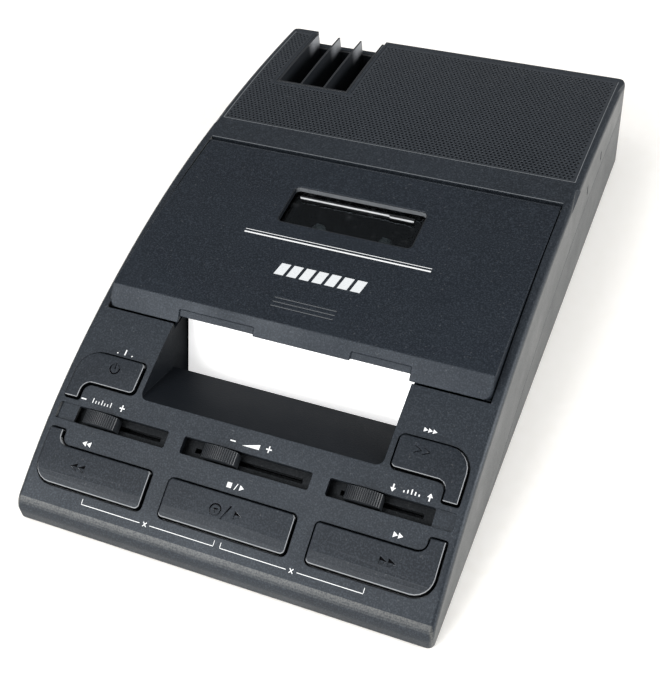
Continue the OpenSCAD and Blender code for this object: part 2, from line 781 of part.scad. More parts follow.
// The plate that carries the heads and pinch roller towards the cassette.
module head_bridge() {
    color("#a5a8ac") raised() translate([-19, -25.5, bridge_z]) cube([38, 8.5, bridge_thick]);
}
module playback_head() {
    color("#b7b9bc") raised() translate([-4, -24, head_z]) {
        cube([8, 6, 8]);
        translate([4, 5.6, 0]) cylinder(r = 2.2, h = 8);
    }
}
module erase_head() {
    color("#3a3d41") raised() translate([-15, -23.5, head_z]) {
        cube([6, 5, 7]);
        translate([3, 4.6, 0]) cylinder(r = 1.6, h = 7);
    }
}
roller_at = [12.5, -18];
axle_r = 0.8;
module roller_axle() {
    color("#d4d6d8") raised() translate([roller_at[0], roller_at[1], head_z]) {
        cylinder(r = axle_r, h = 8.2);
        cylinder(r = 2, h = 0.8);
    }
}
module pinch_roller() {
    color("#202020") raised() translate([roller_at[0], roller_at[1], head_z + 1]) difference() {
        cylinder(r = 3.4, h = 6);
        translate([0, 0, -1]) cylinder(r = axle_r + running_gap, h = 9);
    }
}

// ---- buttons ----

// Height of the block each cap is cut from; its domed top trims it.
cap_block = 9;
flange_top = -4.6;
flange_thick = 1;
stem_end = -6.6;
switch_gap = 0.1;

// A button cap whose top follows the panel, with a flange and a stem below it.
// Children are its outline and the flange outline, seen along the panel normal.
module button(at) {
    on_panel() {
        translate([0, 0, flange_top - flange_thick]) linear_extrude(flange_thick) children(1);
        translate([at[0], at[1], stem_end]) cylinder(r = 2, h = -stem_end + flange_top - 0.5);
    }
    intersection() {
        on_panel() translate([0, 0, flange_top - 0.5]) linear_extrude(cap_block) children(0);
        translate([-half_w, front_centre[0], front_centre[1]]) rotate([0, 90, 0])
            cylinder(r = front_radius + button_proud, h = case_width, $fn = 720);
    }
}
module mark_cut(at) {
    on_panel() translate([at[0], at[1], -at[1] * at[1] / (2 * front_radius) + button_proud - 0.4])
        linear_extrude(2) children();
}
// Two solid triangles in a row, pointing right.
module fast_mark() {
    for (x = [-3, 0.2]) translate([x, 0]) polygon([[0, -1.5], [2.9, 0], [0, 1.5]]);
}
module power_button() {
    color("#262a30") raised() difference() {
        button(power_at) {
            power_outline(button_gap);
            power_outline(-0.6);
        }
        mark_cut([-62.6, up_panel(-82.9)]) {
            difference() {
                circle(2.2);
                circle(1.7);
                translate([-0.9, 0]) square([1.8, 4]);
            }
            translate([-0.25, 0]) square([0.5, 2.6]);
        }
    }
}
module search_button() {
    color("#262a30") raised() difference() {
        button([-power_at[0], power_at[1]]) {
            mirror([1, 0]) power_outline(button_gap);
            mirror([1, 0]) power_outline(-0.6);
        }
        mark_cut([61, up_panel(-82.3)]) difference() {
            fast_mark();
            for (x = [-3, 0.2]) translate([x - 0.6, 0]) polygon([[0, -1.5], [2.9, 0], [0, 1.5]]);
        }
    }
}
module rewind_button() {
    color("#2e3238") raised() difference() {
        button(rewind_at) {
            rewind_outline(button_gap);
            rewind_outline(-0.6);
        }
        mark_cut([-61.5, up_panel(-119.9)]) mirror([1, 0]) fast_mark();
    }
}
module play_button() {
    color("#2e3238") raised() difference() {
        button(play_at) {
            play_outline(button_gap);
            play_outline(-0.6);
        }
        mark_cut([0, up_panel(-119.8)]) {
            translate([-4.2, 0]) difference() {
                circle(2.3);
                circle(1.8);
            }
            translate([-4.2, 0]) rotate([0, 0, -90]) circle(1.2, $fn = 3);
            rotate([0, 0, -25]) translate([-0.25, -3]) square([0.5, 6]);
            translate([3.2, -1.5]) polygon([[0, 0], [2.9, 1.5], [0, 3]]);
        }
    }
}
module wind_button() {
    color("#2e3238") raised() difference() {
        button([-rewind_at[0], rewind_at[1]]) {
            mirror([1, 0]) rewind_outline(button_gap);
            mirror([1, 0]) rewind_outline(-0.6);
        }
        mark_cut([61, up_panel(-119.9)]) fast_mark();
    }
}

// ---- sliders ----

knob_depth = 5;
knob_rise = 3.4;
knob_sink = 4;
knob_arc = 10.5;
rib_depth = 0.35;
channel_depth = 5.2;
channel_half = 4;
lever_size = [4, 1.2];
lever_low = -9.4;
// How far a lever reaches up into its knob.
lever_in_knob = 2.1;
control_top = -7.6;
board_top = -11;

// Outline of a knob seen along its slot's short side: an arched, ribbed top.
function knob_top(x, r) = knob_rise - knob_arc + sqrt(pow(r, 2) - pow(x, 2));
function rib_points(i) = let (
        pitch = knob_length / knob_ribs,
        x = knob_length / 2 - i * pitch)
    [[x - 0.05, knob_top(x, knob_arc)], [x - 0.45 * pitch, knob_top(x - 0.45 * pitch, knob_arc)],
     [x - 0.65 * pitch, knob_top(x - 0.65 * pitch, knob_arc - rib_depth)],
     [x - 0.85 * pitch, knob_top(x - 0.85 * pitch, knob_arc - rib_depth)]];
module knob_view() {
    half = knob_length / 2;
    polygon(concat([[-half, knob_top(half, knob_arc)], [-half, -knob_sink], [half, -knob_sink]],
        [for (i = [0 : knob_ribs - 1]) each rib_points(i)]));
}
module knob(x) {
    color("#33373d") raised() on_panel() translate([x, slot_mid, 0]) difference() {
        translate([0, knob_depth / 2, 0]) rotate([90, 0, 0]) linear_extrude(knob_depth) knob_view();
        translate([-lever_size[0] / 2 - 0.1, -lever_size[1] / 2 - 0.1, -knob_sink - 1])
            cube([lever_size[0] + 0.2, lever_size[1] + 0.2, lever_in_knob + 1.1]);
    }
}
module speed_knob() {
    knob(speed_x);
}
module volume_knob() {
    knob(volume_x);
}
module tone_knob() {
    knob(tone_x);
}
module lever(x) {
    color("#b5b8bb") raised() on_panel()
        translate([x - lever_size[0] / 2, slot_mid - lever_size[1] / 2, lever_low])
            cube([lever_size[0], lever_size[1], -lever_low - knob_sink + lever_in_knob]);
}
module speed_lever() {
    lever(speed_x);
}
module volume_lever() {
    lever(volume_x);
}
module tone_lever() {
    lever(tone_x);
}

slot_ends = [[-side_slot[1], -side_slot[0]], volume_slot, [side_slot[0], side_slot[1]]];
// Channels under the slots, each with a narrow slit for the lever.
module slot_shields() {
    end_wall = 0.8;
    side_wall = 0.6;
    floor_thick = 0.8;
    color("#24272c") raised() on_panel() for (e = slot_ends) translate([0, slot_mid, -channel_depth])
        difference() {
            translate([e[0] - end_wall, -channel_half, 0])
                cube([e[1] - e[0] + 2 * end_wall, 2 * channel_half, 2.6]);
            translate([e[0] - 0.1, -channel_half + side_wall, floor_thick])
                cube([e[1] - e[0] + 0.2, 2 * (channel_half - side_wall), 5]);
            translate([0, 0, -1]) lever_slit(e);
        }
}
// The slit a lever slides in, along the whole travel of its knob.
module lever_slit(e) {
    end = knob_length / 2 - lever_size[0] / 2 - 0.6;
    width = lever_size[1] + 0.6;
    translate([e[0] + end, -width / 2, 0]) cube([e[1] - e[0] - 2 * end, width, 6]);
}
module slide_controls() {
    color("#8e9195") raised() on_panel() for (e = slot_ends) translate([0, slot_mid, board_top])
        difference() {
            translate([e[0] + 1, -3.5, 0]) cube([e[1] - e[0] - 2, 7, control_top - board_top]);
            translate([0, 0, lever_low - board_top - 0.3]) lever_slit(e);
        }
}
switch_spots = [power_at, [-power_at[0], power_at[1]], rewind_at, play_at, [-rewind_at[0], rewind_at[1]]];
module key_switches() {
    top = stem_end - button_travel - switch_gap;
    color("#1e2023") raised() on_panel() for (p = switch_spots) translate([p[0], p[1], board_top]) {
        translate([-3, -3, 0]) cube([6, 6, top - board_top - 0.6]);
        cylinder(r = 1.7, h = top - board_top);
    }
}

// ---- boards and electrical parts ----

module control_board() {
    color("#2c5a3c") raised() on_panel() translate([0, 0, board_top - board_thick]) {
        translate([-77, -26, 0]) cube([154, 45, board_thick]);
        for (side = [-1, 1]) translate([side * 64.5 - 12.5, 18, 0]) cube([25, 6, board_thick]);
    }
}
module main_board() {
    color("#2c5a3c") raised() difference() {
        translate([-75, -43, board_z]) cube([150, 92, board_thick]);
        for (p = deck_posts) translate([p[0], p[1], 0]) cylinder(r = 3.5, h = 10);
        for (p = plate_posts) translate([p[0], p[1], 0]) cylinder(r = 4, h = 10);
    }
}
module board_chips() {
    // Corner and size of each chip in plan.
    chips = [[-58, -30, 12, 8], [-60, 2, 18, 8], [48, -32, 10, 10], [52, 6, 16, 7], [-12, 36, 24, 9]];
    color("#1b1b1d") raised() for (c = chips)
        translate([c[0], c[1], board_z + board_thick]) cube([c[2], c[3], 2.2]);
}
module capacitors() {
    // Place and radius of each can.
    cans = [[-62, 32, 4], [-50, 34, 3], [60, 28, 5], [62, -14, 3.5], [50, 36, 3], [-64, -12, 3]];
    color("#26415f") raised() for (c = cans)
        translate([c[0], c[1], board_z + board_thick]) cylinder(r = c[2], h = 2.4 * c[2]);
}
module ribbon_sockets() {
    // Corner and length of each socket.
    sockets = [[-20, -41, 24], [12, -41, 14], [14, 42, 12]];
    color("#e6e2d4") raised() for (c = sockets)
        translate([c[0], c[1], board_z + board_thick]) cube([c[2], 4, 5]);
}

module on_speaker() {
    on_surface(speaker_at[1]) translate([speaker_at[0], 0, 0]) children();
}
module speaker_basket() {
    color("#3a3d40") raised() on_speaker() difference() {
        rotate_extrude() polygon([[28.5, -5], [28.5, -3.4], [33, -3.4], [33, -4.8], [29.6, -4.8], [17, -17],
            [17, -18.5], [8, -18.5], [8, -17.2], [15.6, -17.2]]);
        for (a = [0 : 60 : 300]) rotate([0, 0, a]) translate([19, -4.5, -15.6]) cube([7.5, 9, 8]);
    }
}
module speaker_cone() {
    color("#4a4744") raised() on_speaker() rotate_extrude() polygon([[0, -13.2], [0, -14.3], [5, -15],
        [8.2, -16.4], [27.7, -5.3], [28.3, -4.9], [28.3, -4.4], [27.6, -4.4], [8.2, -15.5], [5, -13.9]]);
}
module speaker_magnet() {
    color("#55585b") raised() on_speaker() translate([0, 0, -27]) {
        cylinder(r = 17, h = 7);
        cylinder(r = 19, h = 1.5);
        translate([0, 0, 7]) cylinder(r = 14, h = 1.5);
    }
}

// A socket body behind the back wall, its bore facing out.
module round_socket(x, body, bore, nose) {
    depth = 11;
    raised() translate([x, back_y - wall, socket_z]) rotate([-90, 0, 0]) difference() {
        union() {
            translate([-body / 2, -body / 2, -depth]) cube([body, body, depth - 0.1]);
            translate([0, 0, -1]) cylinder(r = nose, h = wall + 0.6);
        }
        translate([0, 0, -depth + 1.5]) cylinder(r = bore, h = depth + wall);
    }
}
module power_socket() {
    color("#17181a") {
        round_socket(power_socket_x, 12, 3.2, 4.8);
        // The pin in the middle of the socket.
        raised() translate([power_socket_x, back_y - wall - 9.5, socket_z]) rotate([-90, 0, 0])
            cylinder(r = 1, h = 8);
    }
}
module phone_socket() {
    color("#17181a") round_socket(phone_socket_x, 9, 1.8, 3.4);
}
module pedal_socket() {
    color("#17181a") raised() translate([pedal_socket_x, back_y - wall, socket_z]) difference() {
        translate([-8, -13, -7]) cube([16, 12.9, 14]);
        translate([-5.5, -11, -4]) cube([11, 14, 7]);
        translate([-2, -11, 2.5]) cube([4, 14, 2]);
    }
}

module rubber_feet() {
    color("#1a1a1a") raised() for (p = foot_spots) translate([p[0], p[1], -foot_drop])
        cylinder(r = foot_r, h = foot_drop + foot_pocket - 0.05);
}
module case_screws() {
    color("#a0a3a6") raised() for (p = screw_spots) translate([p[0], p[1], 0.2]) difference() {
        union() {
            translate([0, 0, -0.1]) cylinder(r = screw_head_r, h = 1.2);
            cylinder(r = screw_r, h = 15);
        }
        for (a = [0, 90]) rotate([0, 0, a]) translate([-1.6, -0.3, -1]) cube([3.2, 0.6, 1.6]);
    }
}

top_shell();
base_shell();
speaker_grille();
cassette_rack();
card_well_back();
index_card();
lid();
lid_window();
hinge_pins();
lid_catch();
deck_plate();
cassette_springs();
deck_chassis();
supply_spindle();
take_up_spindle();
idler_wheel();
idler_tyre();
capstan();
flywheel();
capstan_bearing();
flywheel_bracket();
motor();
motor_pulley();
drive_belt();
head_bridge();
playback_head();
erase_head();
pinch_roller();
roller_axle();
power_button();
search_button();
rewind_button();
play_button();
wind_button();
speed_knob();
volume_knob();
tone_knob();
speed_lever();
volume_lever();
tone_lever();
slot_shields();
slide_controls();
key_switches();
control_board();
main_board();
board_chips();
capacitors();
ribbon_sockets();
speaker_basket();
speaker_cone();
speaker_magnet();
power_socket();
phone_socket();
pedal_socket();
rubber_feet();
case_screws();
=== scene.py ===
import json
import math

import bmesh
import bpy
from mathutils import Matrix, Vector

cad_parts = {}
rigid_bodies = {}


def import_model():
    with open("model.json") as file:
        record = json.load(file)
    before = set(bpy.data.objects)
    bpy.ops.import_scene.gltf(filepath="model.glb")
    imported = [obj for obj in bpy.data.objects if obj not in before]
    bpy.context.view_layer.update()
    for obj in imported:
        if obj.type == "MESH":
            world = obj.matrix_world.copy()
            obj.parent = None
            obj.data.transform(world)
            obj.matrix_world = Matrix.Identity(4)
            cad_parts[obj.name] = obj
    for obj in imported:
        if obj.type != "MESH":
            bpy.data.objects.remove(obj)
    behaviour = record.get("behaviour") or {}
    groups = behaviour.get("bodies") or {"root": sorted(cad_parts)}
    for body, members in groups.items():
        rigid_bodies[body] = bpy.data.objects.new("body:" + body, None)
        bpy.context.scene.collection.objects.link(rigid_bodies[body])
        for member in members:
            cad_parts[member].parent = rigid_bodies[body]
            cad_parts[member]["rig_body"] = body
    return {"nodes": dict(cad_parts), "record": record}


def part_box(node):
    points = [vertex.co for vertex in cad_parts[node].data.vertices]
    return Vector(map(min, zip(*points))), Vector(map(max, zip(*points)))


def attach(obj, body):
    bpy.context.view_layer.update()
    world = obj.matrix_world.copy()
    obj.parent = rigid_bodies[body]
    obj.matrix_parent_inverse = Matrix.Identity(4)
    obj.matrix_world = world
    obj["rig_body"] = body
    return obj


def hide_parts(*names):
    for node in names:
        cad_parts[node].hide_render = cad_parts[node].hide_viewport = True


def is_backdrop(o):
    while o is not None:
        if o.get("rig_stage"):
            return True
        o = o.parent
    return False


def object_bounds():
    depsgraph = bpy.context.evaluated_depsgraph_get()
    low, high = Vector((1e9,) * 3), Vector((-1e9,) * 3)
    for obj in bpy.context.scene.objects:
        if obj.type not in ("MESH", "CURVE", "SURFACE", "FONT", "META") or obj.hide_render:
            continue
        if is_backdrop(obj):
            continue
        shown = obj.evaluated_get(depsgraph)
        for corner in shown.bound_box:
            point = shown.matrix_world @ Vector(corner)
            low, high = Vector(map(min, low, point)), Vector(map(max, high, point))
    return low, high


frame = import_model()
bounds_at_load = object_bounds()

MM = 0.001
FEET = 1.2  # height of the feet; the case bottom stands this far above the table

# ---- shape of the case top, the same three arcs as the solid model, in mm above the case bottom ----

CREST_Y, CREST_Z = 36.0, 49.6
BACK_R, MID_R, FRONT_R = 750.0, 405.0, 260.0
JOINT = (-0.28, 0.96)
JOINT_Y = CREST_Y + MID_R * JOINT[0]
FRONT_CENTRE = (CREST_Y + (MID_R - FRONT_R) * JOINT[0], CREST_Z - MID_R + (MID_R - FRONT_R) * JOINT[1])
LID_R = 950.0


def arc_z(y, centre_y, centre_z, radius):
    return centre_z + math.sqrt(radius * radius - (y - centre_y) ** 2)


def top_z(y):
    if y < JOINT_Y:
        return arc_z(y, FRONT_CENTRE[0], FRONT_CENTRE[1], FRONT_R)
    radius = MID_R if y < CREST_Y else BACK_R
    return arc_z(y, CREST_Y, CREST_Z - radius, radius)


def lid_z(y):
    return arc_z(y, CREST_Y, CREST_Z - LID_R, LID_R)


# ---- node materials ----


class Mat:
    """A node material under construction, with short helpers for the usual nodes."""

    def __init__(self, name, rough=0.5, metallic=0.0):
        self.m = bpy.data.materials.new(name)
        self.m.use_nodes = True
        self.t = self.m.node_tree
        self.b = self.t.nodes["Principled BSDF"]
        self.b.inputs["Metallic"].default_value = metallic
        self.b.inputs["Roughness"].default_value = rough
        self.co = self.node("ShaderNodeTexCoord").outputs["Object"]

    def node(self, kind, **inputs):
        n = self.t.nodes.new(kind)
        for key, value in inputs.items():
            n.inputs[key.replace("_", " ")].default_value = value
        return n

    def link(self, a, b):
        self.t.links.new(a, b)

    def noise(self, scale, detail=3.0, rough=0.55):
        n = self.node("ShaderNodeTexNoise", Scale=scale, Detail=detail, Roughness=rough)
        self.link(self.co, n.inputs["Vector"])
        return n.outputs["Fac"]

    def stretched_noise(self, scale, stretch, detail=3.0):
        mapping = self.node("ShaderNodeMapping")
        mapping.inputs["Scale"].default_value = stretch
        self.link(self.co, mapping.inputs["Vector"])
        n = self.node("ShaderNodeTexNoise", Scale=scale, Detail=detail)
        self.link(mapping.outputs["Vector"], n.inputs["Vector"])
        return n.outputs["Fac"]

    def remap(self, value, a, b, low=0.0, high=1.0):
        n = self.node("ShaderNodeMapRange")
        n.inputs["From Min"].default_value = low
        n.inputs["From Max"].default_value = high
        n.inputs["To Min"].default_value = a
        n.inputs["To Max"].default_value = b
        self.link(value, n.inputs["Value"])
        return n.outputs["Result"]

    def mix(self, fac, a, b):
        n = self.t.nodes.new("ShaderNodeMix")
        n.data_type = "RGBA"
        for socket, value in ((n.inputs[6], a), (n.inputs[7], b)):
            if isinstance(value, bpy.types.NodeSocket):
                self.link(value, socket)
            else:
                socket.default_value = (*value, 1.0)
        self.link(fac, n.inputs[0])
        return n.outputs[2]

    def maths(self, op, a, b):
        n = self.t.nodes.new("ShaderNodeMath")
        n.operation = op
        for i, value in enumerate((a, b)):
            if isinstance(value, bpy.types.NodeSocket):
                self.link(value, n.inputs[i])
            else:
                n.inputs[i].default_value = value
        return n.outputs["Value"]

    def colour(self, value):
        if isinstance(value, bpy.types.NodeSocket):
            self.link(value, self.b.inputs["Base Color"])
        else:
            self.b.inputs["Base Color"].default_value = (*value, 1.0)

    def rough(self, value):
        self.link(value, self.b.inputs["Roughness"])

    def bump(self, height, strength, depth_mm, previous=None):
        n = self.node("ShaderNodeBump", Strength=strength, Distance=depth_mm * MM)
        self.link(height, n.inputs["Height"])
        if previous is not None:
            self.link(previous, n.inputs["Normal"])
        return n.outputs["Normal"]

    def normal(self, value):
        self.link(value, self.b.inputs["Normal"])


def edge_mask(mat, radius_mm):
    """Bright where the surface turns sharply: a mask for edge wear and for painted highlights on edges."""
    bevel = mat.node("ShaderNodeBevel", Radius=radius_mm * MM)
    bevel.samples = 4
    geometry = mat.node("ShaderNodeNewGeometry")
    dot = mat.node("ShaderNodeVectorMath")
    dot.operation = "DOT_PRODUCT"
    mat.link(bevel.outputs["Normal"], dot.inputs[0])
    mat.link(geometry.outputs["Normal"], dot.inputs[1])
    return mat.remap(dot.outputs["Value"], 1.0, 0.0, 0.75, 0.995), bevel.outputs["Normal"]


def facing(mat, axis, low, high):
    """0 to 1 as the surface's normal along an axis goes from low to high."""
    geometry = mat.node("ShaderNodeNewGeometry")
    split = mat.node("ShaderNodeSeparateXYZ")
    mat.link(geometry.outputs["True Normal"], split.inputs["Vector"])
    return mat.remap(split.outputs[axis], 0.0, 1.0, low, high)


COOL_SHINE = (0.86, 0.925, 1.0, 1.0)
NOSE_START, SLOPE_END = -0.12, -0.05  # along Y, in metres
RECESS_END = 0.068  # the card recess ends short of this, to the left and right
BLEND = 0.002  # width over which one region of the case fades into the next, in metres
# Shine of the case, and the lower shine of the recess walls under painted shade.
CASE_SHINE, RECESS_SHINE = 0.33, 0.12
# Painted highlight along the nose band.
NOSE_PAINTED_HIGHLIGHT = (0.1, 0.1, 0.095)
# Painted reflection on the paler outer sides.
SIDE_PAINTED_REFLECTION = (0.1, 0.102, 0.1)
# Painted shade on the slope and the inner walls of the card recess.
RECESS_PAINTED_SHADE = (0.007, 0.0085, 0.0108)


def case_painted_light(mat, colour, grain):
    """Painted highlight in a band along the front nose, painted reflection on the paler outer sides and
    painted shade on the walls of the card recess.
    """
    split = mat.node("ShaderNodeSeparateXYZ")
    mat.link(mat.co, split.inputs["Vector"])
    along = split.outputs["Y"]
    # Painted highlight on the nose where the surface leans to the front, patchy with the grain.
    band = mat.maths("MULTIPLY", facing(mat, "Y", -0.5, -0.6), facing(mat, "Y", -0.86, -0.68))
    band = mat.maths("MULTIPLY", band, mat.remap(along, 1.0, 0.0, NOSE_START - BLEND, NOSE_START))
    band = mat.maths("MULTIPLY", band, mat.remap(grain, 0.35, 1.0, 0.35, 0.6))
    colour = mat.mix(band, colour, NOSE_PAINTED_HIGHLIGHT)
    sides = mat.maths("MAXIMUM", facing(mat, "X", 0.75, 0.97), facing(mat, "X", -0.75, -0.97))
    reach = mat.maths("ABSOLUTE", split.outputs["X"], 0.0)
    outer = mat.maths("MULTIPLY", sides, mat.remap(reach, 0.0, 1.0, RECESS_END, RECESS_END + BLEND))
    inner = mat.maths("MULTIPLY", sides, mat.remap(reach, 1.0, 0.0, RECESS_END, RECESS_END + BLEND))
    # Painted reflection on the outer side faces, patchy with the grain.
    side_reflection = mat.maths("MULTIPLY", outer, mat.remap(grain, 0.5, 0.9, 0.3, 0.7))
    colour = mat.mix(side_reflection, colour, SIDE_PAINTED_REFLECTION)
    # Painted shade, with less shine, on the slope behind the card and the inner walls of the recess.
    slope = mat.maths("MULTIPLY", facing(mat, "Y", 0.15, 0.28),
                      mat.remap(along, 1.0, 0.0, SLOPE_END - BLEND, SLOPE_END))
    walls = mat.maths("MAXIMUM", slope, inner)
    mat.link(mat.remap(walls, CASE_SHINE, RECESS_SHINE), mat.b.inputs["Specular IOR Level"])
    return mat.mix(walls, colour, RECESS_PAINTED_SHADE)


# Painted shade on the upright walls in the keys' gaps, with less shine.
KEY_WALL_PAINTED_SHADE = (0.002, 0.0025, 0.003)
KEY_WALL_SHINE = 0.05
LINT = (0.3, 0.3, 0.3)


def grained_plastic(name, base, rough, grain_mm=0.6, grain_depth=0.09, shine=0.38, rim=None, extra=None):
    """Moulded plastic with a fine spark-eroded grain, cloudy gloss, faint dust and lighter edges, partly
    wear and partly painted highlight.
    """
    mat = Mat(name, rough)
    cloud = mat.noise(14.0, 4.0)
    dark = [c * 0.85 for c in base]
    light = [c * 1.15 for c in base]
    colour = mat.mix(mat.remap(cloud, 0, 1, 0.35, 0.65), dark, light)
    grain = mat.noise(1.0 / (grain_mm * MM), 2.0, 0.6)
    speckle = mat.remap(grain, 0, 0.8, 0.45, 0.72)
    colour = mat.mix(speckle, colour, [min(1, c * 2.6 + 0.012) for c in base])
    edge, edge_normal = edge_mask(mat, 0.35)
    # Edges lighter in patches: partly wear, partly painted highlight.
    scuff_and_highlight = mat.remap(mat.noise(160.0, 5.0, 0.7), 0, 0.5, 0.45, 0.7)
    colour = mat.mix(mat.maths("MULTIPLY", edge, scuff_and_highlight), colour, [c * 2.0 + 0.02 for c in base])
    lint = mat.remap(mat.noise(900.0, 1.0), 0, 0.1, 0.7, 0.78)
    colour = mat.mix(lint, colour, LINT)
    if rim is not None:
        # Painted highlight: lighter where the rounding leans to the front or the right, above the upright
        # walls in the key's own gap, which get painted shade.
        lean = mat.maths("MAXIMUM", facing(mat, "Y", -0.45, -0.72), facing(mat, "X", 0.22, 0.6))
        colour = mat.mix(lean, colour, rim)
        walls = facing(mat, "Z", 0.32, 0.05)
        colour = mat.mix(walls, colour, KEY_WALL_PAINTED_SHADE)
        mat.link(mat.remap(walls, shine, KEY_WALL_SHINE), mat.b.inputs["Specular IOR Level"])
    if extra is not None:
        colour = extra(mat, colour, grain)
    mat.colour(colour)
    mat.rough(mat.remap(mat.noise(45.0, 4.0), rough - 0.07, rough + 0.08, 0.3, 0.7))
    mat.normal(mat.bump(grain, 0.55, grain_depth, edge_normal))
    mat.b.inputs["Specular IOR Level"].default_value = shine
    mat.b.inputs["Specular Tint"].default_value = COOL_SHINE
    return mat.m


# Where the fins stand free of the low back wall, in metres: painted light on their right-facing sides fades
# in over these stretches.
FIN_FREE_Z = (0.0375, 0.0395)
FIN_FREE_Y = (0.121, 0.127)


def rack_plastic(name, base, lit):
    """Dark plastic with painted light on the right-facing sides of its thin fins where they stand free."""
    mat = Mat(name, 0.45)
    grain = mat.noise(2400.0, 2.0)
    split = mat.node("ShaderNodeSeparateXYZ")
    mat.link(mat.co, split.inputs["Vector"])
    free = mat.maths("MULTIPLY", mat.remap(split.outputs["Z"], 0.0, 1.0, *FIN_FREE_Z),
                     mat.remap(split.outputs["Y"], 0.0, 1.0, *FIN_FREE_Y))
    mat.colour(mat.mix(mat.maths("MULTIPLY", free, facing(mat, "X", 0.4, 0.8)), base, lit))
    mat.rough(mat.remap(mat.noise(60.0, 4.0), 0.4, 0.52, 0.3, 0.7))
    mat.normal(mat.bump(grain, 0.4, 0.03))
    return mat.m


def smooth_plastic(name, base, rough, coat=0.0):
    """Polished or satin moulded plastic: faint ripple, fingerprints and fine scratches."""
    mat = Mat(name, rough)
    cloud = mat.remap(mat.noise(30.0, 3.0), 0, 1, 0.3, 0.7)
    mat.colour(mat.mix(cloud, [c * 0.88 for c in base], [min(1, c * 1.12) for c in base]))
    scratch = mat.stretched_noise(500.0, (1.0, 8.0, 1.0), 2.0)
    smear = mat.remap(mat.noise(70.0, 5.0, 0.65), rough - 0.05, rough + 0.12, 0.35, 0.7)
    mat.rough(smear)
    mat.normal(mat.bump(scratch, 0.12, 0.01))
    mat.b.inputs["Coat Weight"].default_value = coat
    return mat.m


def metal(name, base, rough, brushed=(1.0, 30.0, 1.0)):
    """Brushed, turned or pressed metal with streaks, a little tarnish and uneven gloss."""
    mat = Mat(name, rough, 1.0)
    tarnish = mat.remap(mat.noise(60.0, 5.0, 0.6), 0, 0.6, 0.45, 0.75)
    mat.colour(mat.mix(tarnish, base, [c * 0.62 for c in base]))
    streak = mat.stretched_noise(300.0, brushed, 4.0)
    mat.rough(mat.remap(streak, rough - 0.08, rough + 0.15, 0.3, 0.7))
    mat.normal(mat.bump(streak, 0.25, 0.012))
    return mat.m


def rubber(name, base):
    """Matt rubber with fine pores and a little pale bloom."""
    mat = Mat(name, 0.75)
    pore = mat.noise(1600.0, 3.0)
    bloom = mat.remap(mat.noise(40.0, 4.0), 0, 0.5, 0.5, 0.8)
    mat.colour(mat.mix(bloom, base, [c * 1.8 + 0.01 for c in base]))
    mat.rough(mat.remap(mat.noise(90.0, 3.0), 0.66, 0.86, 0.3, 0.7))
    mat.normal(mat.bump(pore, 0.4, 0.03))
    return mat.m


def paper(name, base, fibre=0.5, glow=0.0):
    """Card or pulp with fibres; glow is painted light that brightens it to the eye without lighting its
    neighbours.
    """
    mat = Mat(name, 0.85)
    cloud = mat.remap(mat.noise(50.0, 4.0), 0, 1, 0.3, 0.7)
    mat.colour(mat.mix(cloud, [c * 0.97 for c in base], base))
    fibres = mat.stretched_noise(700.0, (3.0, 1.0, 1.0), 5.0)
    mat.b.inputs["Emission Color"].default_value = (1.0, 1.0, 1.0, 1.0)
    seen = mat.node("ShaderNodeLightPath").outputs["Is Camera Ray"]
    mat.link(mat.maths("MULTIPLY", seen, glow), mat.b.inputs["Emission Strength"])
    mat.rough(mat.remap(fibres, 0.78, 0.92, 0.3, 0.7))
    mat.normal(mat.bump(fibres, 0.2, 0.02 * fibre))
    return mat.m


def board(name):
    """Coated circuit board: a grid of raised tracks under a slightly stained green coat."""
    mat = Mat(name, 0.35)
    tracks = mat.node("ShaderNodeTexBrick", Scale=90.0)
    mat.link(mat.co, tracks.inputs["Vector"])
    tracks.inputs["Mortar Size"].default_value = 0.06
    tracks.inputs["Color1"].default_value = (0.012, 0.075, 0.03, 1)
    tracks.inputs["Color2"].default_value = (0.016, 0.09, 0.036, 1)
    tracks.inputs["Mortar"].default_value = (0.03, 0.16, 0.06, 1)
    stain = mat.remap(mat.noise(35.0, 4.0), 0, 0.4, 0.45, 0.8)
    mat.colour(mat.mix(stain, tracks.outputs["Color"], (0.02, 0.05, 0.02)))
    mat.rough(mat.remap(mat.noise(120.0, 3.0), 0.28, 0.45, 0.3, 0.7))
    mat.normal(mat.bump(tracks.outputs["Fac"], 0.3, 0.03))
    return mat.m


WINDOW_SHINE = 0.12  # the pane has a faint matt coating, which takes down its reflections


def clear_plastic(name, tint):
    """Thin clear moulding: see-through with a sharp reflection, hairline scratches and a little dust."""
    mat = Mat(name, 0.04)
    see = mat.node("ShaderNodeBsdfTransparent")
    see.inputs["Color"].default_value = (*tint, 1.0)
    shine = mat.node("ShaderNodeBsdfGlossy", Roughness=0.04)
    shine.inputs["Color"].default_value = (1, 1, 1, 1)
    haze = mat.node("ShaderNodeBsdfDiffuse")
    haze.inputs["Color"].default_value = (0.6, 0.62, 0.65, 1)
    scratch = mat.stretched_noise(900.0, (1.0, 12.0, 1.0), 2.0)
    bump = mat.bump(scratch, 0.05, 0.004)
    mat.link(bump, shine.inputs["Normal"])
    fresnel = mat.node("ShaderNodeFresnel", IOR=1.5)
    first = mat.node("ShaderNodeMixShader")
    mat.link(mat.maths("MULTIPLY", fresnel.outputs["Fac"], WINDOW_SHINE), first.inputs["Fac"])
    mat.link(see.outputs["BSDF"], first.inputs[1])
    mat.link(shine.outputs["BSDF"], first.inputs[2])
    second = mat.node("ShaderNodeMixShader")
    mat.link(mat.remap(mat.noise(250.0, 3.0), 0.0, 0.02, 0.6, 0.8), second.inputs["Fac"])
    mat.link(first.outputs["Shader"], second.inputs[1])
    mat.link(haze.outputs["BSDF"], second.inputs[2])
    mat.link(second.outputs["Shader"], mat.t.nodes["Material Output"].inputs["Surface"])
    mat.m["see_through"] = True
    return mat.m


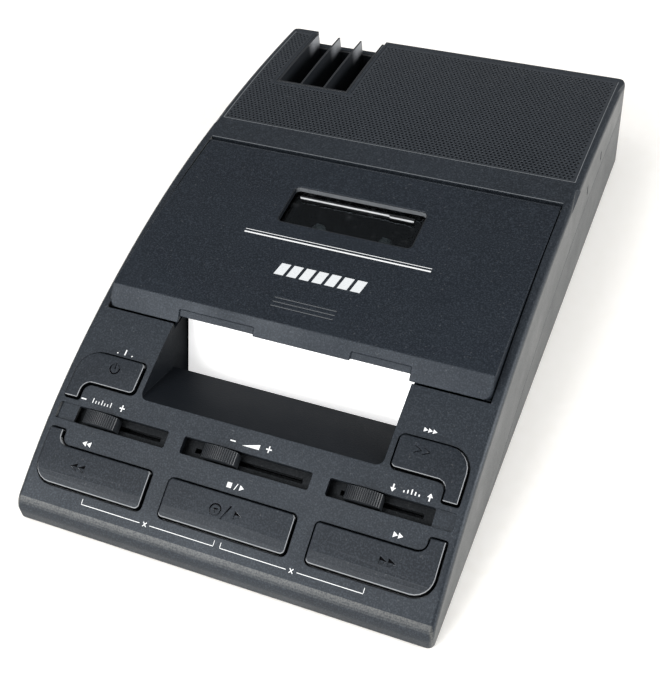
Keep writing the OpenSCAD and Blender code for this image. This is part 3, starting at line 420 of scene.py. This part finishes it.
def lit_rim(name, base, bright):
    """Smooth cut edge of a moulding, with a painted highlight where it faces the front."""
    mat = Mat(name, 0.3)
    patchy = mat.remap(mat.noise(220.0, 3.0), 0.75, 1.0, 0.3, 0.7)
    fac = mat.maths("MULTIPLY", facing(mat, "Y", -0.3, -0.8), patchy)
    mat.colour(mat.mix(fac, base, bright))
    mat.rough(mat.remap(mat.noise(300.0, 2.0), 0.25, 0.4, 0.3, 0.7))
    mat.normal(mat.bump(mat.noise(900.0, 2.0), 0.1, 0.01))
    return mat.m


def ink(name, base, shine=0.5):
    """Printed or shaded areas with slightly uneven cover."""
    mat = Mat(name, 0.55)
    mat.b.inputs["Specular IOR Level"].default_value = shine
    patchy = mat.remap(mat.noise(1500.0, 3.0), 0, 0.5, 0.5, 0.9)
    mat.colour(mat.mix(patchy, base, [c * 0.55 for c in base]))
    mat.rough(mat.remap(mat.noise(300.0, 2.0), 0.5, 0.65, 0.3, 0.7))
    return mat.m


SLATE = (0.0095, 0.0122, 0.016)
# The case and base carry a painted highlight on the nose, painted reflection on the outer sides and painted
# shade in the card recess.
CASE = grained_plastic("case_plastic", SLATE, 0.44, extra=case_painted_light)
BASE = grained_plastic("base_plastic", (0.013, 0.016, 0.02), 0.5, extra=case_painted_light)
LID = grained_plastic("lid_plastic", (0.0066, 0.0092, 0.0132), 0.47, grain_depth=0.03, shine=0.28)
# The keys carry a painted highlight on their front and right edges and painted shade on their upright walls.
KEYS = grained_plastic("key_plastic", (0.0066, 0.0087, 0.0118), 0.36, grain_depth=0.02, shine=0.23,
                       rim=(0.3, 0.31, 0.32))
DARK = grained_plastic("black_plastic", (0.005, 0.0055, 0.0065), 0.55)
BAY = grained_plastic("bay_plastic", (0.003, 0.0035, 0.004), 0.6, shine=0.2)
# The rack's fins carry painted light on their right-facing sides.
RACK = rack_plastic("rack_plastic", (0.009, 0.011, 0.014), (0.22, 0.23, 0.245))
KNOBS = smooth_plastic("knob_plastic", (0.02, 0.023, 0.027), 0.38)
GRILLE = grained_plastic("grille_paint", (0.012, 0.0145, 0.018), 0.4, grain_mm=0.2, grain_depth=0.012,
                         shine=0.5)
PALE = smooth_plastic("pale_plastic", (0.62, 0.62, 0.57), 0.35)
GREY = smooth_plastic("grey_plastic", (0.3, 0.31, 0.32), 0.45)
STEEL = metal("pressed_steel", (0.42, 0.43, 0.44), 0.38)
BRIGHT = metal("bright_steel", (0.62, 0.63, 0.65), 0.22, (1.0, 1.0, 40.0))
BRASS = metal("turned_brass", (0.62, 0.44, 0.17), 0.28, (1.0, 1.0, 40.0))
PAINTED = smooth_plastic("speaker_paint", (0.03, 0.031, 0.033), 0.5)
RUBBER = rubber("black_rubber", (0.009, 0.009, 0.009))
BOARD = board("circuit_board")
SLEEVE = smooth_plastic("capacitor_sleeve", (0.015, 0.035, 0.09), 0.3, 0.3)
# The card's glow is painted light, seen by the camera only.
CARD = paper("card_stock", (0.93, 0.93, 0.92), glow=0.6)
CONE = paper("speaker_cone", (0.03, 0.028, 0.026), 2.0)
WINDOW = clear_plastic("window_plastic", (0.42, 0.45, 0.47))
# Painted highlights where these face the front: the window rim, the pane step and the edge lines.
RIM = lit_rim("window_rim", (0.01, 0.012, 0.015), (0.17, 0.18, 0.19))
STEP = lit_rim("pane_step", (0.008, 0.009, 0.01), (0.8, 0.81, 0.82))
EDGE = lit_rim("painted_edge_highlight", (0.16, 0.17, 0.18), (0.2, 0.21, 0.22))
SIGN = ink("sign_shade", (0.001, 0.001, 0.0013), shine=0.03)
SIGN_GLINT = ink("sign_glint", (0.3, 0.31, 0.32))
INK = ink("white_print", (0.78, 0.79, 0.79))
SILVER = ink("silver_print", (0.62, 0.64, 0.65))

NODE_MATERIAL = {
    "case_plastic": CASE,
    "base_plastic": BASE,
    "grille_metal": GRILLE,
    "button_plastic": KEYS,
    "knob_plastic": KNOBS,
    "window_plastic": WINDOW,
    "card_stock": CARD,
    "pale_plastic": PALE,
    "black_plastic": DARK,
    "slide_control_metal": STEEL,
    "spring_steel": BRIGHT,
    "lever_plastic": GREY,
    "brass_parts": BRASS,
    "black_rubber": RUBBER,
    "board_laminate": BOARD,
    "capacitor_sleeve": SLEEVE,
    "speaker_steel": PAINTED,
    "cone_paper": CONE,
}
slot_of = {s["node"]: s["material_slot"] for s in frame["record"]["subparts"]}
body_of = {n: o["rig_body"] for n, o in frame["nodes"].items()}


def dress(obj, material):
    obj.data.materials.clear()
    obj.data.materials.append(material)


for name, obj in frame["nodes"].items():
    dress(obj, NODE_MATERIAL[slot_of[name]])
# Painted shade in the slots: the steel slide controls and the shields take the darkest plastic where they
# show through the slots.
dress(frame["nodes"]["slide_controls"], BAY)
dress(frame["nodes"]["slot_shields"], BAY)

# ---- pieces refined from the solid model: the same shape with real rounded edges ----


def new_piece(name, body, material, mesh):
    obj = bpy.data.objects.new(name, mesh)
    bpy.context.scene.collection.objects.link(obj)
    dress(obj, material)
    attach(obj, body)
    return obj


SHARP = math.radians(28.0)  # edges that turn more than this are rounded
FLAT = math.radians(0.4)  # faces that turn less than this are joined
WELD = 2e-6  # points closer than this are joined, in metres


def welded_copy(node, plain_area):
    """A mesh with the node's shape, welded, with its sharp edges marked for rounding.

    Edges whose ends both lie in the plain area, seen from above, stay sharp.
    """
    mesh = frame["nodes"][node].data.copy()
    mesh.name = node + "_refined"
    b = bmesh.new()
    b.from_mesh(mesh)
    bmesh.ops.remove_doubles(b, verts=b.verts, dist=WELD)
    bmesh.ops.dissolve_limit(b, angle_limit=FLAT, verts=b.verts, edges=b.edges)
    weight = b.edges.layers.float.new("bevel_weight_edge")
    for e in b.edges:
        fine = all(plain_area(v.co.x / MM, v.co.y / MM) for v in e.verts)
        if e.is_manifold and e.calc_face_angle(0.0) > SHARP and not fine:
            e[weight] = 1.0
    for f in b.faces:
        f.smooth = True
    for e in b.edges:
        e.smooth = e.calc_face_angle(0.0) <= SHARP or e[weight] > 0
    b.to_mesh(mesh)
    b.free()
    return mesh


def refined(node, width_mm, segments=3, material=None, clamp=True, plain_area=lambda x, y: False):
    """Replaces a solid node with a copy whose edges are really rounded."""
    mesh = welded_copy(node, plain_area)
    obj = new_piece(node + "_finish", body_of[node], material or NODE_MATERIAL[slot_of[node]], mesh)
    bevel = obj.modifiers.new("edge", "BEVEL")
    bevel.width = width_mm * MM
    bevel.segments = segments
    bevel.limit_method = "WEIGHT"
    bevel.use_clamp_overlap = clamp
    bevel.miter_outer = "MITER_ARC"
    normals = obj.modifiers.new("normals", "WEIGHTED_NORMAL")
    normals.mode = "FACE_AREA"
    normals.weight = 100
    normals.keep_sharp = True
    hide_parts(node)
    return obj


# The centre of each key's engraved sign and how far it reaches, in mm.
SIGN_AREA = {"power": (-62.6, -82.9, 3.5), "search": (61.0, -82.3, 5.0), "rewind": (-61.5, -119.9, 5.0),
             "play": (0.0, -119.8, 8.0), "wind": (61.0, -119.9, 5.0)}
# The grip grooves in the lid: half their length, and where they start and end along Y, in mm.
GROOVE_AREA = (14.0, -46.5, -39.5)


def near(centre):
    return lambda x, y: math.hypot(x - centre[0], y - centre[1]) < centre[2]


def in_grooves(x, y):
    return abs(x) < GROOVE_AREA[0] and GROOVE_AREA[1] < y < GROOVE_AREA[2]


refined("top_shell", 0.3)
refined("base_shell", 0.4)
refined("lid", 0.32, material=LID, clamp=False, plain_area=in_grooves)
refined("cassette_rack", 0.25, material=RACK)
refined("deck_plate", 0.2, material=BAY)
for key, area in SIGN_AREA.items():
    refined(key + "_button", 0.38, 4, clamp=False, plain_area=near(area))
for knob in ("speed", "volume", "tone"):
    refined(knob + "_knob", 0.12, 2)
refined("lid_window", 0.5, material=WINDOW)
refined("index_card", 0.08, 2)
refined("card_well_back", 0.2)

# ---- perforated sheet over the loudspeaker ----

HOLE_PITCH = 1.84
ROW_PITCH = HOLE_PITCH * math.sqrt(3) / 2
HOLE_R = 0.6
HOLE_SIDES = 12
SHEET = 0.8  # thickness
SHEET_DROP = 0.03  # the sheet lies this far below the case's top surface
HOLE_ROUND = 0.06  # the sheet sinks this much more at the edge of each hole
EDGE_BAND = 0.75  # plain border without holes
node_low, node_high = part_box("speaker_grille")
rack_low, rack_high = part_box("cassette_rack")
RACK_FRAME = 1.8  # plastic frame between the rack and the sheet's cut-out
RACK_LEFT = rack_low.x / MM - RACK_FRAME
RACK_RIGHT = rack_high.x / MM + RACK_FRAME
RACK_FRONT = rack_low.y / MM - RACK_FRAME


def inside_sheet(x, y, margin):
    """Is a point of the sheet at least margin from every edge, in mm?"""
    if not (node_low.x / MM + margin <= x <= node_high.x / MM - margin):
        return False
    if not (node_low.y / MM + margin <= y <= node_high.y / MM - margin):
        return False
    return not (RACK_LEFT - margin < x < RACK_RIGHT + margin and y > RACK_FRONT - margin)


def beyond_sheet(x, y, margin):
    """Is a point outside the sheet, or in the rack's cut-out, by more than margin?"""
    if x < node_low.x / MM - margin or x > node_high.x / MM + margin:
        return True
    if y < node_low.y / MM - margin or y > node_high.y / MM + margin:
        return True
    return RACK_LEFT + margin < x < RACK_RIGHT - margin and y > RACK_FRONT + margin


def perforated_sheet():
    """Hexagonal cells, each with a round hole and the wall below it; plain cells at the edges."""
    b = bmesh.new()
    seen = {}

    def vertex(x, y, drop):
        key = (round(x, 3), round(y, 3), drop)
        if key not in seen:
            seen[key] = b.verts.new((x * MM, y * MM, (top_z(y) + FEET - drop) * MM))
        return seen[key]

    def clamp(x, y):
        x = min(max(x, node_low.x / MM), node_high.x / MM)
        y = min(max(y, node_low.y / MM), node_high.y / MM)
        if RACK_LEFT < x < RACK_RIGHT and y > RACK_FRONT:
            options = [(x - RACK_LEFT, (RACK_LEFT, y)), (RACK_RIGHT - x, (RACK_RIGHT, y)),
                       (y - RACK_FRONT, (x, RACK_FRONT))]
            return min(options)[1]
        return x, y

    corner_r = HOLE_PITCH / math.sqrt(3)
    rows = int((node_high.y - node_low.y) / MM / ROW_PITCH) + 3
    columns = int((node_high.x - node_low.x) / MM / HOLE_PITCH) + 3
    for row in range(-1, rows):
        y = node_low.y / MM + row * ROW_PITCH
        for column in range(-1, columns):
            x = node_low.x / MM + (column + 0.5 * (row % 2)) * HOLE_PITCH
            if beyond_sheet(x, y, corner_r):
                continue
            corners = []
            for i in range(6):
                a = math.radians(30 + 60 * i)
                corners.append(clamp(x + corner_r * math.cos(a), y + corner_r * math.sin(a)))
            flat = {(round(p[0], 3), round(p[1], 3)) for p in corners}
            if len(flat) < 3:
                continue
            if inside_sheet(x, y, EDGE_BAND):
                hole, wall = [], []
                for i in range(HOLE_SIDES):
                    a = math.radians(30 + 360 * i / HOLE_SIDES)
                    px, py = x + HOLE_R * math.cos(a), y + HOLE_R * math.sin(a)
                    hole.append(vertex(px, py, SHEET_DROP + HOLE_ROUND))
                    wall.append(vertex(px, py, SHEET))
                ring = [vertex(*p, SHEET_DROP) for p in corners]
                per = HOLE_SIDES // 6
                for i in range(6):
                    face = [ring[i], ring[(i + 1) % 6]]
                    face += [hole[(i * per + j) % HOLE_SIDES] for j in range(per, -1, -1)]
                    b.faces.new(face)
                for i in range(HOLE_SIDES):
                    j = (i + 1) % HOLE_SIDES
                    b.faces.new((hole[i], hole[j], wall[j], wall[i]))
            else:
                ring = []
                for p in corners:
                    v = vertex(*p, SHEET_DROP)
                    if v not in ring:
                        ring.append(v)
                if len(ring) >= 3:
                    try:
                        b.faces.new(ring)
                    except ValueError:
                        pass
    mesh = bpy.data.meshes.new("grille_sheet")
    b.to_mesh(mesh)
    b.free()
    for p in mesh.polygons:
        p.use_smooth = False
    return mesh


sheet = new_piece("grille_sheet", "case", GRILLE, perforated_sheet())
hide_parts("speaker_grille")

# ---- printed marks: plain generic signs, no words ----


PRINT_LIFT = 0.035  # printed marks lie this far above the surface, in mm


def mark_mesh(name, polygons, surface, lift=PRINT_LIFT):
    """Thin printed shapes laid on a surface: each polygon is a list of points in mm, seen from above."""
    b = bmesh.new()
    for points in polygons:
        vs = [b.verts.new((x * MM, y * MM, (surface(y) + FEET + lift) * MM)) for x, y in points]
        b.faces.new(vs)
    mesh = bpy.data.meshes.new(name)
    b.to_mesh(mesh)
    b.free()
    return mesh


def stroke(x0, y0, x1, y1, width):
    """A straight line of a given width, as a polygon."""
    d = Vector((x1 - x0, y1 - y0)).normalized()
    nx, ny = -d.y * width / 2, d.x * width / 2
    return [(x0 - nx, y0 - ny), (x1 - nx, y1 - ny), (x1 + nx, y1 + ny), (x0 + nx, y0 + ny)]


SIGN_HALF, SIGN_LINE = 1.1, 0.45  # half length and line width of the plus and minus signs


def minus(x, y):
    return [stroke(x - SIGN_HALF, y, x + SIGN_HALF, y, SIGN_LINE)]


def plus(x, y):
    """A minus sign with separate strokes above and below it, which don't overlap it."""
    above = stroke(x, y + 0.23, x, y + 1.2, SIGN_LINE)
    below = stroke(x, y - 1.2, x, y - 0.23, SIGN_LINE)
    return minus(x, y) + [above, below]


def arrow(x, y, up):
    """A small arrow pointing to the back or the front of the case."""
    s = 1 if up else -1
    return [[(x - 1.0, y), (x + 1.0, y), (x, y + s * 1.4)][::s], stroke(x, y - s * 1.3, x, y, 0.5)]


def cross(x, y, size):
    """One long diagonal and two short ones that stop at it."""
    return [stroke(x - size, y - size, x + size, y + size, 0.3),
            stroke(x - size, y + size, x - 0.1, y + 0.1, 0.3),
            stroke(x + 0.1, y - 0.1, x + size, y - size, 0.3)]


BRACKET_Y = -130.7  # the bracket lines in front of the keys
BRACKET_LINE = 0.22
BRACKET_ENDS = (1.3, 55.7)  # measured out from the middle of the case
BRACKET_BREAK = (27.0, 31.1)  # the line stops here, to leave room for a cross
CROSS_X = 29.0

panel_marks = []
panel_marks += minus(-70.4, -96.3) + plus(-53.8, -96.0)
panel_marks += minus(-7.2, -96.2) + plus(7.0, -95.8)
panel_marks += arrow(54.8, -96.6, False) + arrow(68.2, -96.5, True)
for side in (-1, 1):
    for x0, x1 in ((BRACKET_ENDS[0], BRACKET_BREAK[0]), (BRACKET_BREAK[1], BRACKET_ENDS[1])):
        panel_marks.append(stroke(side * x0, BRACKET_Y, side * x1, BRACKET_Y, BRACKET_LINE))
    for x in BRACKET_ENDS:
        panel_marks.append(stroke(side * x, BRACKET_Y + 0.2, side * x, BRACKET_Y + 1.8, BRACKET_LINE))
    panel_marks += cross(side * CROSS_X, BRACKET_Y, 0.7)

new_piece("panel_print", "case", INK, mark_mesh("panel_print", panel_marks, top_z))


def bars(x0, x1, y, heights, width):
    """A row of upright bars standing on a common line, spread evenly from x0 to x1."""
    step = (x1 - x0 - width) / (len(heights) - 1)
    shapes = []
    for i, height in enumerate(heights):
        x = x0 + i * step
        shapes.append([(x, y), (x + width, y), (x + width, y + height), (x, y + height)])
    return shapes


def wedge(x0, x1, y, height):
    """A ramp that rises from x0 to x1."""
    return [[(x0, y), (x1, y), (x1, y + height)]]


def triangles(x, y, size, count, right):
    """Solid triangles in a row, pointing right or left."""
    s = 1 if right else -1
    shapes = []
    for i in range(count):
        left = x + s * i * size
        shape = [(left, y - size / 2), (left + s * size * 0.9, y), (left, y + size / 2)]
        shapes.append(shape if right else shape[::-1])
    return shapes


# Plain signs in place of words above the controls.
signs = []
signs += bars(-65.4, -58.6, -76.5, (0.5, 2.2, 0.5), 0.5)
signs += bars(-66.5, -58.5, -96.9, (1.8, 1.0, 1.0, 1.8, 1.0, 1.0, 1.8), 0.35)
signs += triangles(-60.3, -111.3, 1.9, 2, False)
signs += wedge(-3.4, 3.4, -96.9, 1.8)
signs += bars(-3.6, -1.8, -111.7, (1.8, 1.8), 1.8)[:1]
signs += [stroke(-0.5, -111.9, 0.4, -109.7, 0.3)]
signs += triangles(1.4, -110.8, 1.9, 1, True)
signs += triangles(58.6, -74.4, 1.7, 3, True)
signs += bars(58.6, 64.6, -97.2, (0.7, 1.2, 1.7, 1.2, 0.7), 0.45)
signs += triangles(59.8, -110.9, 1.9, 2, True)
new_piece("sign_print", "case", INK, mark_mesh("sign_print", signs, top_z))

# Shaded bottoms of the signs engraved in the keys, each with a glint along one side.
PANEL_Y = -102.0  # middle of the control panel
PANEL_TILT = math.asin((FRONT_CENTRE[0] - PANEL_Y) / FRONT_R)
KEY_RISE = 1.5  # the keys stand this far above the panel
SIGN_DEPTH = 0.4
GLINT = 0.22


def on_key(centre, shapes, height):
    """Shapes drawn in the panel's plane round a sign's centre, seen from above."""
    back = height * math.sin(PANEL_TILT)
    cx, cy = centre[0], centre[1] - back
    return [[(cx + u, cy + v * math.cos(PANEL_TILT)) for u, v in shape] for shape in shapes]


def ring(cx, cy, outer, inner, steps=24):
    """A flat ring, as a row of four-sided pieces."""
    shapes = []
    for i in range(steps):
        a, c = 2 * math.pi * i / steps, 2 * math.pi * (i + 1) / steps
        shapes.append([(cx + r * math.cos(t), cy + r * math.sin(t)) for r, t in
                       ((inner, a), (outer, a), (outer, c), (inner, c))])
    return shapes


def arrowhead(x, s):
    """A solid triangle with its base at x, pointing along s."""
    shape = [(x, -1.5), (x + s * 2.9, 0.0), (x, 1.5)]
    return shape if s > 0 else shape[::-1]


sign_rise = KEY_RISE - SIGN_DEPTH
sign_lift = sign_rise / math.cos(PANEL_TILT) + 0.03
sign_shapes = {
    "power": ring(0, 0, 2.2, 1.7) + [stroke(0, 0, 0, 2.6, 0.5)],
    "rewind": [arrowhead(3.0, -1), arrowhead(-0.2, -1)],
    "play": ring(-4.2, 0, 2.3, 1.8) + [
        stroke(-1.1, -2.6, 1.3, 2.7, 0.5),
        [(3.2, -1.5), (6.1, 0), (3.2, 1.5)],
        [(-5.2, 0.6), (-4.2, -1.2), (-3.2, 0.6)],
    ],
    "wind": [arrowhead(-3.0, 1), arrowhead(0.2, 1)],
}
glints = {
    "rewind": [stroke(0.1, 0, 3.0, -1.5, GLINT), stroke(-3.1, 0, -0.2, -1.5, GLINT)],
    "play": [stroke(3.2, 1.5, 6.1, 0, GLINT), stroke(3.2, -1.5, 6.1, 0, GLINT)],
    "wind": [stroke(-3.0, -1.5, -0.1, 0, GLINT), stroke(0.2, -1.5, 3.1, 0, GLINT)],
}
for kind, material, drawn, lift in (("_sign", SIGN, sign_shapes, sign_lift),
                                    ("_glint", SIGN_GLINT, glints, sign_lift + 0.05)):
    for key, shapes in drawn.items():
        placed = on_key(SIGN_AREA[key], shapes, sign_rise)
        new_piece(key + kind, key + "_key", material, mark_mesh(key + kind, placed, top_z, lift))

# A pinstripe and a plain striped panel on the lid.
PINSTRIPE_Y, PINSTRIPE_X = -12.2, (-38.7, 40.2)
STRIPES_Y, STRIPES_X, STRIPE_COUNT = (-30.2, -24.2), (-18.0, 19.2), 7
STRIPE_SPACING = 1.35  # in stripe widths
STRIPE_LEAN = 1.2
lid_marks = [stroke(PINSTRIPE_X[0], PINSTRIPE_Y + d, PINSTRIPE_X[1], PINSTRIPE_Y + d, w)
             for d, w in ((0.0, 0.7), (1.5, 0.3))]
new_piece("lid_pinstripe", "lid_body", INK, mark_mesh("lid_pinstripe", lid_marks, lid_z))
stripe_w = (STRIPES_X[1] - STRIPES_X[0]) / (STRIPE_COUNT * STRIPE_SPACING)
stripes = []
for i in range(STRIPE_COUNT):
    left = STRIPES_X[0] + i * stripe_w * STRIPE_SPACING
    right = left + stripe_w
    stripes.append([(left, STRIPES_Y[0]), (right, STRIPES_Y[0]),
                    (right + STRIPE_LEAN, STRIPES_Y[1]), (left + STRIPE_LEAN, STRIPES_Y[1])])
new_piece("lid_stripes", "lid_body", SILVER, mark_mesh("lid_stripes", stripes, lid_z))

# ---- rim of the window opening and the step in the clear pane ----

WINDOW_HALF = (29.0, 10.8)
WINDOW_Y = 7.8
WINDOW_CORNER = 2.5
LID_THICK = 2.4
RIM_WIDTH = 0.35


def rounded_outline(inset, steps=8):
    """The window opening with rounded corners, drawn smaller by an inset."""
    half_x, half_y = WINDOW_HALF[0] - inset, WINDOW_HALF[1] - inset
    corner = WINDOW_CORNER - inset
    points = []
    for cx, cy, start in ((1, 1, 0), (-1, 1, 90), (-1, -1, 180), (1, -1, 270)):
        for i in range(steps + 1):
            a = math.radians(start + 90 * i / steps)
            points.append((cx * (half_x - corner) + corner * math.cos(a),
                           WINDOW_Y + cy * (half_y - corner) + corner * math.sin(a)))
    return points


def rim_mesh(name, outer, inner, high, low):
    """A closed band between two outlines, following the lid's arch between two depths below its top."""
    b = bmesh.new()
    rings = []
    for outline, drop in ((outer, high), (inner, high), (inner, low), (outer, low)):
        rings.append([b.verts.new((x * MM, y * MM, (lid_z(y) + FEET - drop) * MM)) for x, y in outline])
    count = len(outer)
    for k in range(4):
        a, c = rings[k], rings[(k + 1) % 4]
        for i in range(count):
            j = (i + 1) % count
            b.faces.new((a[i], a[j], c[j], c[i]))
    bmesh.ops.recalc_face_normals(b, faces=b.faces)
    mesh = bpy.data.meshes.new(name)
    b.to_mesh(mesh)
    b.free()
    return mesh


# The window rim carries a painted highlight where it faces the front.
window_rim = rim_mesh("window_rim", rounded_outline(0.0), rounded_outline(RIM_WIDTH), 0.3, LID_THICK - 0.1)
new_piece("window_rim", "lid_body", RIM, window_rim)


def ledge_mesh(name, outline, surface, high, low):
    """A solid strip with the given outline in plan, between two depths below a surface."""
    b = bmesh.new()
    top = [b.verts.new((x * MM, y * MM, (surface(y) + FEET - high) * MM)) for x, y in outline]
    bottom = [b.verts.new((x * MM, y * MM, (surface(y) + FEET - low) * MM)) for x, y in outline]
    count = len(outline)
    b.faces.new(top)
    b.faces.new(bottom[::-1])
    for i in range(count):
        j = (i + 1) % count
        b.faces.new((top[i], bottom[i], bottom[j], top[j]))
    bmesh.ops.recalc_face_normals(b, faces=b.faces)
    mesh = bpy.data.meshes.new(name)
    b.to_mesh(mesh)
    b.free()
    return mesh


# A ledge moulded into the pane near its far edge, wider at its right end.
STEP_PLAN = [(-25.5, 14.2), (13.5, 14.2), (14.0, 13.6), (24.2, 13.6), (24.2, 14.9), (-25.5, 14.9)]
pane_step = ledge_mesh("pane_step", STEP_PLAN, lid_z, LID_THICK - 0.9, LID_THICK)
# The step carries a painted highlight where it faces the front.
new_piece("pane_step", "lid_body", STEP, pane_step)

# Painted highlight lines: the front and side borders of the sheet's recess, and the case edge behind the
# lid.
SHEET_LEFT, SHEET_RIGHT = node_low.x / MM, node_high.x / MM
SHEET_FRONT, SHEET_BACK = node_low.y / MM, node_high.y / MM
LINE = 0.3
BORDER = 0.35  # the line runs this far outside the sheet
CUT = 6.0  # longest straight length of a line that follows the arched top


def edge_line(name, points, surface):
    """A thin painted highlight line along points, cut into short lengths so that it follows the surface."""
    shapes = []
    for (x0, y0), (x1, y1) in zip(points, points[1:]):
        dx, dy = x1 - x0, y1 - y0
        cuts = max(1, int(math.hypot(dx, dy) / CUT))
        for i in range(cuts):
            t, u = i / cuts, (i + 1) / cuts
            shapes.append(stroke(x0 + t * dx, y0 + t * dy, x0 + u * dx, y0 + u * dy, LINE))
    new_piece(name, "case", EDGE, mark_mesh(name, shapes, surface, 0.02))


edge_line("sheet_border", [(SHEET_LEFT - BORDER, SHEET_BACK), (SHEET_LEFT - BORDER, SHEET_FRONT - BORDER),
                           (SHEET_RIGHT + BORDER, SHEET_FRONT - BORDER), (SHEET_RIGHT + BORDER, SHEET_BACK)],
          top_z)
edge_line("lid_back_border", [(-78.1, 39.1), (78.1, 39.1)], top_z)

# Painted highlight lines in the bottoms of the three finger grooves.
GROOVES = [stroke(-12.8, y, 12.8, y, 0.4) for y in (-45.05, -43.0, -40.95)]
new_piece("groove_shine", "lid_body", EDGE, mark_mesh("groove_shine", GROOVES, lid_z, -0.25))

# ---- floor, light and camera ----


FLOOR_GLOW = 0.16  # keeps the paper pale under the soft shadows


def floor_material():
    """Pale backdrop paper with a fine tooth."""
    mat = Mat("backdrop_paper", 0.9)
    weave = mat.noise(260.0, 4.0, 0.6)
    mat.colour(mat.mix(mat.remap(weave, 0, 1, 0.3, 0.7), (0.9, 0.875, 0.83), (0.96, 0.945, 0.915)))
    mat.normal(mat.bump(weave, 0.25, 0.2))
    mat.b.inputs["Emission Color"].default_value = (1.0, 0.98, 0.94, 1.0)
    mat.b.inputs["Emission Strength"].default_value = FLOOR_GLOW
    mat.rough(mat.remap(weave, 0.85, 0.95, 0.3, 0.7))
    return mat.m


floor_mesh = bpy.data.meshes.new("floor")
grid = bmesh.new()
bmesh.ops.create_grid(grid, x_segments=8, y_segments=8, size=2.5)
grid.to_mesh(floor_mesh)
grid.free()
floor = bpy.data.objects.new("floor", floor_mesh)
bpy.context.scene.collection.objects.link(floor)
floor.location.z = -0.0002
dress(floor, floor_material())
floor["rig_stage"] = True


def area_light(name, place, target, size, power, colour=(1, 1, 1)):
    data = bpy.data.lights.new(name, "AREA")
    data.shape = "RECTANGLE"
    data.size, data.size_y = size
    data.energy = power
    data.color = colour
    obj = bpy.data.objects.new(name, data)
    obj.location = place
    obj.rotation_euler = (Vector(target) - Vector(place)).to_track_quat("-Z", "Y").to_euler()
    bpy.context.scene.collection.objects.link(obj)
    obj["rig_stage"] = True


# One above and to the left, two from the front and one from the right; places in metres.
area_light("overhead", (-0.45, -0.38, 1.3), (-0.03, -0.09, 0), (0.95, 0.6), 5.5, (1.0, 0.99, 0.98))
area_light("front_high", (-0.66, -1.2, 1.05), (0, -0.13, 0.02), (1.0, 0.4), 18.0)
area_light("front", (-0.3, -1.3, 0.4), (0, -0.1, 0.03), (1.4, 0.55), 9.0, (0.99, 0.99, 1.0))
area_light("side", (1.25, 0.15, 0.6), (0, 0, 0.03), (0.9, 0.5), 17.0)

world = bpy.data.worlds.new("studio")
bpy.context.scene.world = world
world.use_nodes = True
world.node_tree.nodes["Background"].inputs["Color"].default_value = (0.97, 0.98, 1.0, 1)
world.node_tree.nodes["Background"].inputs["Strength"].default_value = 0.36


CAMERA_ANGLES = (27.214, 47.324, -6.83)  # azimuth, elevation and roll, in degrees
CAMERA_PLACE = (0.1464, -0.3091, 0.3565)
CAMERA_LENS = 62.65


def photo_camera():
    """The camera at the viewing angle the machine is shown from."""
    azimuth, elevation, roll = (math.radians(angle) for angle in CAMERA_ANGLES)
    forward = Vector((-math.sin(azimuth) * math.cos(elevation), math.cos(azimuth) * math.cos(elevation),
                      -math.sin(elevation)))
    right = forward.cross(Vector((0, 0, 1))).normalized()
    up = right.cross(forward)
    across = math.cos(roll) * right + math.sin(roll) * up
    upright = -math.sin(roll) * right + math.cos(roll) * up
    data = bpy.data.cameras.new("camera")
    data.lens = CAMERA_LENS
    data.sensor_width = 36.0
    data.sensor_fit = "HORIZONTAL"
    obj = bpy.data.objects.new("camera", data)
    turn = Matrix((across, upright, -forward)).transposed()
    obj.matrix_world = Matrix.Translation(CAMERA_PLACE) @ turn.to_4x4()
    bpy.context.scene.collection.objects.link(obj)
    bpy.context.scene.camera = obj


photo_camera()
bpy.context.scene.view_settings.view_transform = "Standard"

sizes = {"at_load": bounds_at_load, "at_end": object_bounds()}


def plain(value):
    """Vectors and nested lists of numbers as plain lists."""
    if isinstance(value, dict):
        return {k: plain(v) for k, v in value.items()}
    if isinstance(value, (int, float, str)):
        return value
    return [plain(v) for v in value]


plain(sizes)
